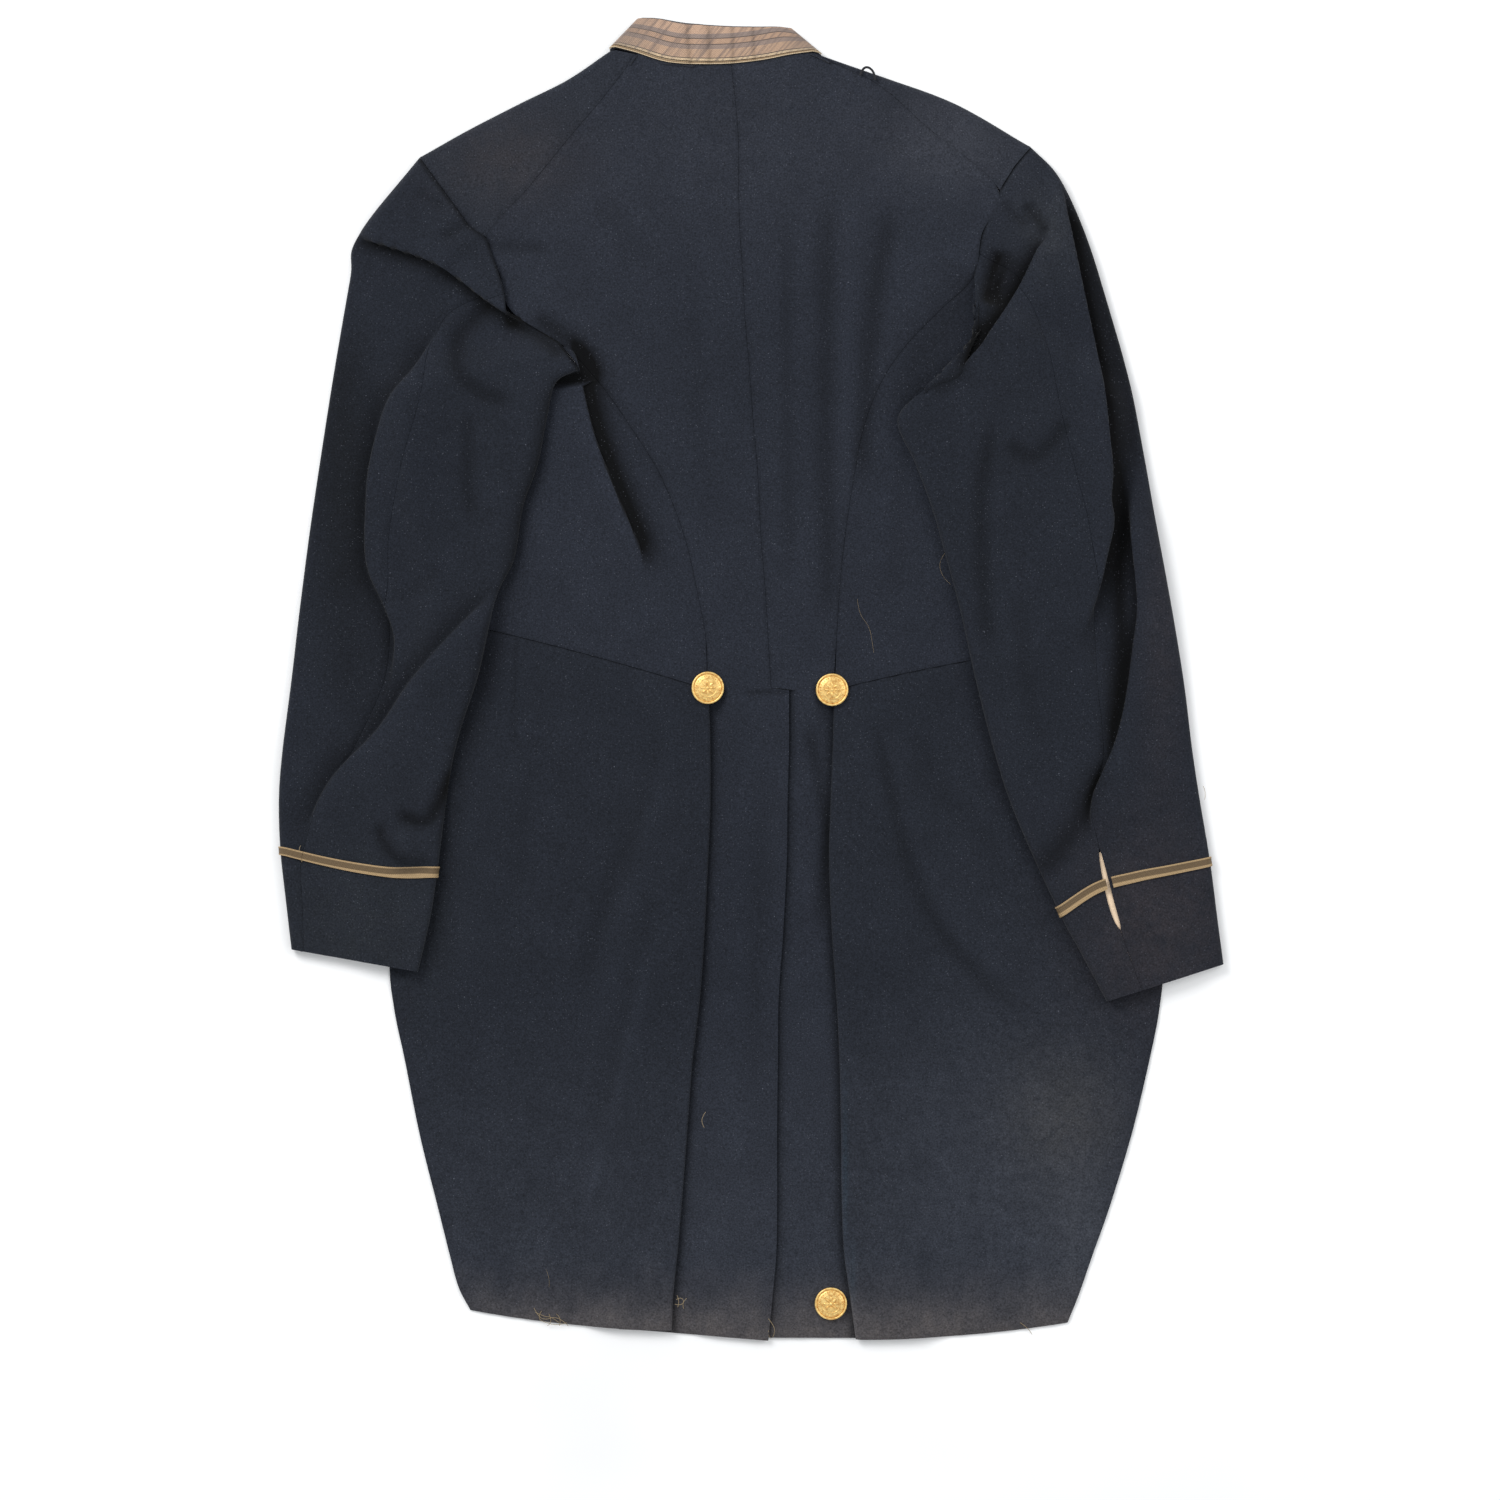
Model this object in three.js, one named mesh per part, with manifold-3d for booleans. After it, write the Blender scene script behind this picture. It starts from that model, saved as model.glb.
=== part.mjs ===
// A dark wool swallowtail coat with a standing laced collar, lying flat on its front, back upwards.
// X runs across the coat, Y from the hem to the neck and Z up from the surface that it lies on.
// Left and right are the sides of this view. All sizes are in millimetres.
import * as THREE from "three";
import Module from "manifold-3d";
import { mergeVertices } from "three/addons/utils/BufferGeometryUtils.js";

const wasm = await Module();
wasm.setup();

const CLOTH = 1.8; // wall of a panel: wool with its lining
const SEAM = 0.4; // left between two pieces that are sewn together
const MOUTH = 1.2; // left where a sleeve meets the armhole
const LAYER = 0.3; // air between layers that lie on each other
const BODY = 7.5; // height of the flattened torso
const SLEEVE = 7.5; // height of a flattened sleeve
const FOREARM_SEAM = 0.85; // place of a sleeve's lower seam, from its outer to its inner edge
const CLEAR = 1.0; // air between the coat and a sleeve that lies on it
const FALL = 24; // width over which a sleeve sinks past the coat's edge
const HELD = 10; // how far past the coat's edge a sleeve stays up
const WAIST_FALL = 55; // length over which the skirts sink below the waist
const PLEAT = 36; // depth of the pleat behind each hip button
const PLEAT_START = 40; // length below the waist over which the pleat reaches its depth
const PLEAT_SLOPE = 26; // width over which a skirt sinks beyond its pleat
const TUCK = 9; // part of a folded edge's section that lies on the surface below
const UNDERARM = 14; // how far a front comes round the side to its seam
const VENT_LAP = 28; // width of the tail that lies under the vent
const VENT_SLOPE = 24; // width over which the upper tail sinks beside the lap
const FRONT_LAP = 42; // width of the right front that lies on the left one
const COLLAR_BARE = 3.2; // cloth that shows above the collar's lace
const COLLAR_TOP = 5.6; // height at the collar's upper edge above the surface
const LACE = 0.8; // thickness of lace and braid
const CUFF_BRAID = 6; // width of the braid round a cuff
const SLIT = 2.3; // half the width of the open cuff slit
const SLIT_BACKING = 8; // how far the cuff's lining reaches past each side of the slit
const BUTTON = 11; // radius of a gilt button
const NECK_SEAM = 0.8; // left between the fronts and the collar underneath
const FRONT_SCOOP = 2; // how much deeper an armhole is cut in the front than in the back
const ROW = 38; // usual length of cloth between two rows of a table
const WELD = 1e-4; // points nearer than this are one
const PLEAT_INSET = 1.5; // how far a tail stays clear of the fold inside its pleat
const PLEAT_TOP = 5; // depth of a pleat where it starts under the waist seam
const PLEAT_FLAT = 2; // how far past its pleat a skirt stays three layers high
const TAIL_HIDDEN = 3; // distance from the pleat's edge at which a tail starts to rise at the waist
const TAIL_RISE = 12; // width over which it rises there
const VENT_FLAT = 4; // how far past the lap the upper tail stays two layers high
const VENT_HEM = 3; // how much lower a tail's hem is at the vent
const NECK_TRIM = 0.5; // how much lower a front is cut at the centre than its neck seam
const WAIST_TRIM = 3; // how far above the waist seam a front ends underneath
const WAIST_CORNER = 100; // X at which the lower edge of a front leaves the waist seam's slope
const ARMPIT_REACH = 22; // from the end of an armhole to the front's corner at the armpit
const ARMPIT_TRIM = 2; // how much lower that corner is than the armhole
const ARMHOLE_TILT = 0.9; // cosine of the slope of an armhole's lower edge
const ARMHOLE_ROWS = 1.6; // rows over which a sleeve keeps the bend of its armhole
const LAP_RISER = 3; // width of the step from the right front up to its lap
const LINING_ROWS = [10.5, 11, 11.5, 12, 12.4]; // rows of the right sleeve that its cuff's lining reaches
const COLLAR_HEIGHT = 34; // height of the standing collar, along its cloth
const LACE_START = 0.1; // part of the collar's height at which its lace begins
const NECK_BRAID = [0.02, 0.08]; // parts of the collar's height between which the narrow braid lies
const LOOP_RADIUS = 0.8; // radius of the shoulder loop's cord
const THREE_LAYERS = 3 * CLOTH + 2 * LAYER;
const TWO_LAYERS = 2 * CLOTH + LAYER;

const NAVY = 0x2a2f3b;
const GOLD_LACE = 0xaf907b;
const BRAID = 0x9a8060;
const GILT = 0xebc782;
const LINING = 0xd8cdbd;
const CORD = 0x15161a;

// Turns rows of numbers into records with the named columns.
function table(names, rows) {
  const keys = names.split(" ");
  return rows.map((row) => Object.fromEntries(keys.map((key, i) => [key, row[i]])));
}

// Seams of the two back panels from the neck to the waist.
const BACK = table("leftX leftY centreX centreY rightX rightY", [
  [-77, 421, -13, 413, 40, 421.5],
  [-100, 391, -10, 388, 84, 402],
  [-122, 365, -8, 360, 120, 371],
  [-149, 332, -8, 330, 161, 332],
  [-178, 298, -7, 300, 156, 300],
  [-169, 273, -5, 272, 150, 271],
  [-161, 248, -4, 248, 128, 249],
  [-125, 224, -2, 224, 104, 224],
  [-102, 200, 0, 200, 88, 200],
  [-82, 172, 2, 172, 77, 172],
  [-61, 138, 5, 138, 70, 138],
  [-45, 98, 7, 98, 64, 98],
  [-36, 60, 10, 60, 60, 60],
  [-30, 27, 12, 27, 58, 27],
  [-29, -5, 14, -6, 56, -5],
]);

// Edges of the two tails between the hip buttons and the hem.
const TAILS = table("y leftPleat vent rightPleat", [
  [-14, -28.5, 26, 56.5],
  [-28, -27.5, 26, 56],
  [-45, -27, 26, 55.5],
  [-85, -27, 25, 54],
  [-122, -28.5, 24.5, 53],
  [-172, -31, 22, 55],
  [-215, -34, 19, 58],
  [-257, -39, 18.5, 60],
  [-304, -42.5, 18, 61],
  [-350, -46, 18, 61.5],
  [-385, -49, 17.5, 63],
  [-415, -52, 15, 67],
  [-443, -53, 12, 71],
]);

// Pleat edge and front edge of each skirt, from the waist seam to the hem.
const LEFT_SKIRT = table("pleatX pleatY edgeX edgeY bow", [
  [-28.5, -7, -197, 38, 2],
  [-27.5, -25, -205, 10, 1.5],
  [-27, -45, -214, -22, 1],
  [-27, -85, -231, -85, 0],
  [-28.5, -122, -240, -135, 0],
  [-31, -172, -243.5, -190, 0],
  [-34, -215, -240.5, -222, 0],
  [-39, -257, -233, -258, 0],
  [-42.5, -304, -223, -308, 0],
  [-46, -350, -211, -356, 0],
  [-49, -385, -203, -388, 0],
  [-52, -415, -197, -410, -1],
  [-53, -439, -189, -425.5, -3],
]);
const RIGHT_SKIRT = table("pleatX pleatY edgeX edgeY bow", [
  [56.5, -7, 205, 22, 2],
  [56, -25, 218, -3, 1.5],
  [55.5, -45, 231, -30, 1],
  [54, -85, 255, -85, 0],
  [53, -122, 270, -135, 0],
  [55, -172, 278, -190, 0],
  [58, -215, 276, -222, 0],
  [60, -257, 269, -258, 0],
  [61, -304, 257.5, -306, 0],
  [61.5, -350, 243, -354, 0],
  [63, -385, 231, -388, 0],
  [67, -415, 222, -414, -1],
  [71, -445, 214, -434, -3],
]);

// Folded side edges of the torso, from the armhole to the waist.
const LEFT_SIDE = table("x y", [
  [-222, 184],
  [-218, 150],
  [-209, 105],
  [-201, 68],
  [-197, 40],
]);
const RIGHT_SIDE = table("x y", [
  [228, 184],
  [225, 150],
  [217, 105],
  [210, 62],
  [205, 24],
]);

// Armholes from the shoulder point to the side edge: the stretch that shows, and the one below the arm.
const LEFT_ARMHOLE = table("x y", [
  [-223, 352],
  [-210, 334],
  [-189, 305],
  [-178, 298],
  [-169, 273],
  [-161, 248],
  [-129, 227],
  [-116, 208],
]);
const RIGHT_ARMHOLE = table("x y", [
  [189, 359],
  [178, 346],
  [168, 330],
  [161, 314],
  [156, 300],
  [150, 271],
  [152, 250],
  [152, 238],
]);

// Armhole edge of the right side panel, in front of the back seam's rows that it starts from.
const RIGHT_SIDE_ARMHOLE = table("x y", [
  [151, 268],
  [151, 240],
  [157, 212],
]);

// Folded shoulder edges from the collar to the sleeve, a row for each of the back's first rows.
const LEFT_SHOULDER = table("x y", [
  [-94, 424.5],
  [-122, 405],
  [-154, 389],
  [-189, 371],
  [-223, 352],
]);
const RIGHT_SHOULDER = table("x y", [
  [47, 421.5],
  [90, 406],
  [138, 388],
  [189, 359],
]);

// Outer and inner edge of a sleeve at each section, from the armhole to the cuff.
// seam is where the hind-arm seam crosses, from 0 at the outer edge to 1 at the inner one.
const LEFT_SLEEVE = table("outerX outerY innerX innerY seam slit", [
  [-223, 352, -116, 208, 0.6, 0],
  [-265, 298, -131, 199, 0.49, 0],
  [-270, 270, -137, 175, 0.437, 0],
  [-280.5, 209, -143, 145, 0.412, 0],
  [-289, 155, -153, 116, 0.391, 0],
  [-297, 101, -159, 81, 0.387, 0],
  [-304, 47, -171, 55, 0.459, 0],
  [-309.5, 0, -182.6, 5, 0.5, 0],
  [-315.6, -48, -195, -33, 0.42, 0],
  [-318, -80, -203, -68, 0.29, 0],
  [-317, -115, -211, -130, 0.142, 0],
  [-313, -152, -216, -162, 0.113, 0],
  [-309.5, -182, -224, -197, 0.1, 0],
]);
const RIGHT_SLEEVE = table("outerX outerY innerX innerY seam slit", [
  [189, 359, 152, 238, 0.62, 0],
  [208, 338.5, 141, 206, 0.475, 0],
  [226, 300, 118, 195, 0.372, 0],
  [243, 246, 99, 175, 0.302, 0],
  [256, 199, 111, 145, 0.326, 0],
  [266, 148, 122.5, 114, 0.325, 0],
  [273, 108, 131, 84, 0.317, 0],
  [283, 54, 141, 47, 0.366, 0],
  [292, 0, 151.5, 0, 0.417, 0],
  [298, -48, 165, -51, 0.453, 0],
  [303, -81, 178.5, -91.5, 0.573, 0],
  [310, -123, 208, -157, 0.67, 1],
  [315, -162, 222, -183, 0.68, 0.75],
  [319, -192, 240, -217, 0.702, 0],
]);

// Neck seam across the back, with the upper edge of the collar above it.
const NECK = table("seamX seamY topX topY", [
  [-93, 426, -75, 446],
  [-78, 422, -62, 445.5],
  [-54, 415, -44, 442.5],
  [-21, 414, -18, 440.5],
  [6, 416.5, 4, 440],
  [27, 420.5, 18, 440],
  [45, 423, 27, 439],
]);
// Neck seam round the front, below the back one, from each fold to the centre.
const FRONT_NECK_LEFT = table("seamX seamY topX topY", [
  [-93, 426, -75, 446],
  [-84, 396, -60, 418],
  [-60, 374, -42, 402],
  [-31, 365, -24, 399],
  [-7.5, 363, -7.5, 397],
]);
const FRONT_NECK_RIGHT = table("seamX seamY topX topY", [
  [45, 423, 27, 439],
  [51, 397, 27, 414],
  [36, 375, 20, 401],
  [13, 365, 8, 398],
  [-6.5, 363, -6.5, 397],
]);

// The largest folds. A lap stands high on the left of its line's direction and sinks again over its reach.
// A ridge stands up along its line and a valley sinks, over their width.
const BODY_FOLDS = table("kind height width reach line", [
  ["lap", 3, 6, 26, [[-73, 70], [-81, 104], [-102, 155], [-114, 199], [-119, 222]]],
  ["valley", 1.2, 8, 0, [[52, 340], [51, 200], [53, 20]]],
  ["valley", 1.2, 8, 0, [[95, 320], [84, 256], [78, 180]]],
  ["ridge", 1.2, 9, 0, [[70, 330], [66, 240], [66, 110]]],
  ["valley", 1, 6, 0, [[-184, 296], [-140, 294]]],
  ["ridge", 1.5, 30, 0, [[-215, 345], [-150, 372], [-95, 400]]],
  ["ridge", 1.5, 30, 0, [[178, 352], [130, 375], [70, 400]]],
]);
const SKIRT_FOLDS = table("kind height width reach line", [
  ["ridge", 2.4, 12, 0, [[-48, -20], [-66, -90], [-84, -170], [-104, -262]]],
  ["ridge", 2, 13, 0, [[78, -40], [98, -110], [128, -175], [176, -226]]],
  ["ridge", 1.6, 14, 0, [[-190, -20], [-196, -120], [-186, -230]]],
  ["ridge", 1.4, 16, 0, [[110, -240], [124, -320], [128, -400]]],
]);
const LEFT_SLEEVE_FOLDS = table("kind height width reach line", [
  ["ridge", 5, 32, 0, [[-262, 322], [-232, 322], [-190, 280]]],
  ["lap", 5, 8, 30, [[-272, 300], [-250, 290], [-216, 282], [-183, 260], [-150, 240]]],
  ["lap", 5, 8, 34, [[-196, 255], [-223, 222], [-240, 189], [-256, 128], [-257, 81], [-242, 30], [-254, -30]]],
  ["lap", 4.5, 9, 30, [[-165, 64], [-199, 20], [-233, -17], [-270, -58], [-303, -116]]],
  ["valley", 2.2, 9, 0, [[-206, -64], [-220, -100], [-240, -118]]],
  ["valley", 2, 12, 0, [[-187, 170], [-187, 100]]],
  ["valley", 2.5, 9, 0, [[-168, 236], [-185, 218], [-186, 196], [-166, 186]]],
]);
const RIGHT_SLEEVE_FOLDS = table("kind height width reach line", [
  ["lap", 5.5, 8, 26, [[218, 24], [232, 60], [243, 112], [236, 182], [222, 280], [206, 345]]],
  ["lap", 4.5, 9, 26, [[257, 118], [256, 20], [241, -58], [229, -100], [235, -120]]],
  ["lap", 4, 9, 30, [[196, 294], [182, 262], [162, 222], [120, 200]]],
  ["valley", 2.5, 12, 0, [[160, 290], [163, 252]]],
  ["valley", 2, 12, 0, [[158, 150], [160, 20]]],
  ["valley", 1.8, 12, 0, [[239, -40], [216, -102], [194, -136]]],
]);

// How many steps run across a piece, and rows between two rows of a table.
const GRID = {
  back: 6,
  side: 8,
  skirt: 11,
  pleat: 2,
  arc: 2,
  sleeve: 8,
  undersleeve: 5,
  hidden: 8,
  collar: 6,
  loop: 14,
};
const STEPS = 2;
const BUTTON_SIDES = 24;

const { lerp, clamp } = THREE.MathUtils;
const smooth = (t) => THREE.MathUtils.smoothstep(t, 0, 1);
const point = (x, y) => new THREE.Vector2(x, y);
const UP = new THREE.Vector3(0, 0, 1);
const DOWN = new THREE.Vector3(0, 0, -1);

// One column of a table at a fractional row, on a smooth curve through its rows.
function column(rows, key, at) {
  const last = rows.length - 1;
  const i = clamp(Math.floor(at), 0, last - 1);
  const t = at - i;
  const here = rows[i][key];
  const next = rows[i + 1][key];
  const before = i > 0 ? rows[i - 1][key] : 2 * here - next;
  const after = i + 2 <= last ? rows[i + 2][key] : 2 * next - here;
  const slope0 = (next - before) / 2;
  const slope1 = (after - here) / 2;
  const rise = next - here;
  return here + t * (slope0 + t * (3 * rise - 2 * slope0 - slope1 + t * (slope0 + slope1 - 2 * rise)));
}

const place = (rows, x, y, at) => point(column(rows, x, at), column(rows, y, at));

// Place beside a line of a table, to its left as the rows run, or to its right if the gap is negative.
function beside(rows, x, y, at, gap) {
  const way = place(rows, x, y, at + 0.1).sub(place(rows, x, y, at - 0.1)).normalize();
  return place(rows, x, y, at).add(point(-way.y, way.x).multiplyScalar(gap));
}

// Fractional row at which a column that only rises or only falls reaches a value.
function rowWhere(rows, key, value) {
  const i = rows.findIndex((row, k) => k > 0 && (value - row[key]) * (value - rows[k - 1][key]) <= 0);
  if (i > 0) return i - 1 + (value - rows[i - 1][key]) / (rows[i][key] - rows[i - 1][key]);
  const last = rows.length - 1;
  return Math.abs(value - rows[0][key]) < Math.abs(value - rows[last][key]) ? 0 : last;
}

// Rows at which a table is sampled, from one of its rows on.
const samples = (rows, steps = STEPS, first = 0) =>
  Array.from({ length: (rows.length - 1 - first) * steps + 1 }, (_, k) => first + k / steps);

// Distance from a place to a line of points, the side that it lies on, and how far along the line it is.
function nearestOnLine(line, x, y) {
  let best = { distance: Infinity };
  let travelled = 0;
  for (let i = 0; i < line.length - 1; i++) {
    const [ax, ay] = line[i];
    const dx = line[i + 1][0] - ax;
    const dy = line[i + 1][1] - ay;
    const length = Math.hypot(dx, dy);
    const t = clamp(((x - ax) * dx + (y - ay) * dy) / length ** 2, 0, 1);
    const ox = x - ax - t * dx;
    const oy = y - ay - t * dy;
    const distance = Math.hypot(ox, oy);
    if (distance < best.distance) {
      best = { distance, left: dx * oy - dy * ox >= 0, travelled: travelled + t * length };
    }
    travelled += length;
  }
  return { ...best, length: travelled };
}

// Height that one fold adds at a place. It dies away over the first and last sixth of its line.
function foldHeight(fold, x, y) {
  const near = nearestOnLine(fold.line, x, y);
  const fade = smooth((6 * Math.min(near.travelled, near.length - near.travelled)) / near.length);
  if (fold.kind !== "lap") {
    const bump = fold.height * fade * Math.exp(-((near.distance / fold.width) ** 2));
    return fold.kind === "ridge" ? bump : -bump;
  }
  const signed = near.left ? near.distance : -near.distance;
  const rise = smooth(signed / fold.width + 0.5);
  return fold.height * fade * rise * Math.exp(-((Math.max(signed, 0) / fold.reach) ** 2));
}

const relief = (folds, x, y) => folds.reduce((sum, fold) => sum + foldHeight(fold, x, y), 0);

// The two sides of the coat, each with its own tables.
const LEFT = {
  name: "left",
  sign: -1,
  seamX: "leftX",
  seamY: "leftY",
  pleat: "leftPleat",
  armhole: LEFT_ARMHOLE,
  shoulder: LEFT_SHOULDER,
  frontNeck: FRONT_NECK_LEFT,
  side: LEFT_SIDE,
  sideTop: 8,
  armpit: 8,
  armholeLow: { x: -116, y: 208, slope: 0.23 },
  pleatHem: 5,
  braidRow: 10,
  skirt: LEFT_SKIRT,
  sleeve: LEFT_SLEEVE,
  folds: LEFT_SLEEVE_FOLDS,
};
const RIGHT = {
  name: "right",
  sign: 1,
  seamX: "rightX",
  seamY: "rightY",
  pleat: "rightPleat",
  armhole: RIGHT_ARMHOLE,
  shoulder: RIGHT_SHOULDER,
  frontNeck: FRONT_NECK_RIGHT,
  side: RIGHT_SIDE,
  sideTop: 5,
  armpit: 7.5,
  armholeLow: { x: 150, y: 242, slope: -0.72 },
  pleatHem: -1.5,
  braidRow: 11,
  sideArmhole: RIGHT_SIDE_ARMHOLE,
  skirt: RIGHT_SKIRT,
  sleeve: RIGHT_SLEEVE,
  folds: RIGHT_SLEEVE_FOLDS,
};
const CENTRE = 14; // X of the centre-back seam at the waist
const CENTRE_FRONT = -7; // X at which the two fronts and the collar's ends meet
const sideOf = (x) => (x < CENTRE ? LEFT : RIGHT);

// Y of the waist seam at a place across the coat.
function waistY(x) {
  const { pleatX, pleatY, edgeX, edgeY, bow } = sideOf(x).skirt[0];
  const t = clamp((x - pleatX) / (edgeX - pleatX), 0, 1);
  return lerp(pleatY, edgeY, t) + 4 * bow * t * (1 - t);
}

// Upper face of the torso.
const torsoTop = (x, y) => BODY + relief(BODY_FOLDS, x, y);

// How far a place lies from the pleat edge of its side, towards the skirt's front edge.
function fromPleat(x, y) {
  const side = sideOf(x);
  return side.sign * (x - column(TAILS, side.pleat, rowWhere(TAILS, "y", y)));
}

// Upper face of a skirt: as high as the torso at the waist, three layers at the pleat, one beyond it.
function skirtTop(x, y) {
  const pleated = smooth(1 - (Math.abs(fromPleat(x, y)) - PLEAT - PLEAT_FLAT) / PLEAT_SLOPE);
  const kept = 1 - smooth(Math.max(waistY(x) - y, 0) / WAIST_FALL);
  const low = lerp(CLOTH, THREE_LAYERS, pleated) + relief(SKIRT_FOLDS, x, y);
  return lerp(low, torsoTop(x, y), kept);
}

const coatTop = (x, y) => (y > waistY(x) ? torsoTop(x, y) : skirtTop(x, y));

// Upper face of a tail, from the torso's height at the waist down to one layer, or to two where it laps.
function tailTop(x, y, laps) {
  const vent = column(TAILS, "vent", rowWhere(TAILS, "y", y));
  const lapped = laps ? smooth((x - vent + VENT_LAP + VENT_FLAT + VENT_SLOPE) / VENT_SLOPE) : 0;
  const low = CLOTH + lapped * (CLOTH + LAYER);
  const start = laps ? BODY : BODY - CLOTH - 2 * LAYER;
  const high = lerp(CLOTH + LAYER, start, smooth((-fromPleat(x, y) - TAIL_HIDDEN) / TAIL_RISE));
  return lerp(Math.max(high, low), low, smooth((TAILS[0].y - y) / WAIST_FALL));
}

// X of the torso's folded side at a height.
const sideX = (side, y) => column(side.side, "x", rowWhere(side.side, "y", y));

// Place on the waist seam at which a side panel ends at its underarm seam.
function waistCorner(side) {
  const x = side.side[side.side.length - 1].x - side.sign * UNDERARM;
  return point(x, waistY(x) + SEAM);
}

// X of the coat's outline at a height: the torso's folded side, or the skirt's front edge.
function outlineX(side, y) {
  if (y > side.side[side.side.length - 1].y) return sideX(side, y);
  return column(side.skirt, "edgeX", rowWhere(side.skirt, "edgeY", y));
}

// Y of the lower edge of an armhole, below which a sleeve lies on the coat.
const armholeBottom = ({ armholeLow: { x, y, slope } }, at) => y + slope * (at - x);

// Height of what a sleeve lies on: the coat with a little air, sinking to the surface past its edge.
function support(side, x, y) {
  const edge = outlineX(side, y);
  const inside = side.sign * (edge - x);
  const below = ARMHOLE_TILT * (armholeBottom(side, x) - y);
  const cover = smooth(1 + (inside + HELD) / FALL) * smooth(1 + (below + HELD) / FALL);
  if (cover === 0) return 0;
  const nearest = side.sign * Math.min(side.sign * x, side.sign * edge);
  return cover * (coatTop(nearest, y) + CLEAR);
}

// Turns the faces of a closed mesh round if they point inwards.
function facingOut(geometry) {
  const position = geometry.getAttribute("position");
  const index = geometry.index.array;
  const corner = (k) => new THREE.Vector3().fromBufferAttribute(position, index[k]);
  let volume = 0;
  for (let k = 0; k < index.length; k += 3) volume += corner(k).dot(corner(k + 1).cross(corner(k + 2)));
  if (volume > 0) return geometry;
  for (let k = 0; k < index.length; k += 3) [index[k + 1], index[k + 2]] = [index[k + 2], index[k + 1]];
  return geometry;
}

// A wall as a closed mesh, from rows of points on its outer face, each with the way that it faces.
function wall(rows, thickness = CLOTH) {
  const high = rows.length;
  const wide = rows[0].length;
  const outer = rows.flat();
  const inner = outer.map(({ p, n }) => p.clone().addScaledVector(n, -thickness));
  const positions = [...outer.map(({ p }) => p), ...inner].flatMap((p) => p.toArray());
  const out = (i, j) => i * wide + j;
  const into = (i, j) => (high + i) * wide + j;
  const faces = [];
  const quad = (a, b, c, d) => faces.push(a, b, c, a, c, d);
  for (let i = 0; i < high - 1; i++) {
    for (let j = 0; j < wide - 1; j++) {
      quad(out(i, j), out(i, j + 1), out(i + 1, j + 1), out(i + 1, j));
      quad(into(i, j), into(i + 1, j), into(i + 1, j + 1), into(i, j + 1));
    }
    quad(out(i, 0), out(i + 1, 0), into(i + 1, 0), into(i, 0));
    quad(out(i, wide - 1), into(i, wide - 1), into(i + 1, wide - 1), out(i + 1, wide - 1));
  }
  for (let j = 0; j < wide - 1; j++) {
    quad(out(0, j), into(0, j), into(0, j + 1), out(0, j + 1));
    quad(out(high - 1, j), out(high - 1, j + 1), into(high - 1, j + 1), into(high - 1, j));
  }
  const geometry = new THREE.BufferGeometry();
  geometry.setAttribute("position", new THREE.Float32BufferAttribute(positions, 3));
  geometry.setIndex(faces);
  return facingOut(geometry);
}

// Joins closed meshes into one.
function joined(geometries) {
  const solids = geometries.map((geometry) => {
    const bare = geometry.clone();
    bare.deleteAttribute("normal");
    bare.deleteAttribute("uv");
    const merged = mergeVertices(bare, WELD);
    const triVerts = new Uint32Array(merged.index.array);
    const vertProperties = merged.attributes.position.array;
    return new wasm.Manifold(new wasm.Mesh({ numProp: 3, vertProperties, triVerts }));
  });
  const mesh = solids.reduce((sum, solid) => sum.add(solid)).getMesh();
  const geometry = new THREE.BufferGeometry();
  geometry.setAttribute("position", new THREE.Float32BufferAttribute(mesh.vertProperties, 3));
  geometry.setIndex(Array.from(mesh.triVerts));
  return geometry;
}

// A flat sheet with a given outline, between two heights.
function sheet(outline, low, high) {
  const geometry = new THREE.ExtrudeGeometry(new THREE.Shape(outline), { depth: high - low, bevelEnabled: false });
  return geometry.translate(0, 0, low);
}

const topPoint = ({ x, y }, height) => ({ p: new THREE.Vector3(x, y, height(x, y)), n: UP });

// A section of a panel that lies open: evenly spaced places between two seams, bowed along the coat.
function flatSection(from, to, count, height, gaps = [SEAM / 2, SEAM / 2], bow = 0) {
  const along = to.clone().sub(from).normalize();
  const start = from.clone().addScaledVector(along, gaps[0]);
  const end = to.clone().addScaledVector(along, -gaps[1]);
  return Array.from({ length: count + 1 }, (_, j) => {
    const t = j / count;
    const place = start.clone().lerp(end, t);
    place.y += 4 * bow * t * (1 - t);
    return topPoint(place, height);
  });
}

// A section of a piece folded at an edge: from its upper end to the fold, round it, and back underneath.
// over and under give the place at a distance from the fold.
function foldedSection({ over, under, overFrom, underTo, top, bottom, counts }) {
  const fold = over(0);
  const half = (top(fold.x, fold.y) - bottom(fold.x, fold.y)) / 2;
  const centre = over(half);
  const centreUnder = under(half);
  const outward = fold.clone().sub(centre).normalize();
  const high = top(centre.x, centre.y);
  const low = bottom(centreUnder.x, centreUnder.y);
  const section = [];
  for (let j = 0; j < counts[0]; j++) section.push(topPoint(over(lerp(overFrom, half, j / counts[0])), top));
  for (let j = 0; j <= 2 * GRID.arc; j++) {
    const part = j / (2 * GRID.arc);
    const base = centre.clone().lerp(centreUnder, part);
    const reach = Math.sin(Math.PI * part);
    const lift = Math.cos(Math.PI * part);
    base.addScaledVector(outward, half * reach);
    section.push({
      p: new THREE.Vector3(base.x, base.y, (high + low) / 2 + (lift * (high - low)) / 2),
      n: new THREE.Vector3(outward.x * reach, outward.y * reach, lift),
    });
  }
  for (let j = 1; j <= counts[1]; j++) {
    const place = under(lerp(half, underTo, j / counts[1]));
    section.push({ p: new THREE.Vector3(place.x, place.y, bottom(place.x, place.y)), n: DOWN });
  }
  return section;
}

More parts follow.
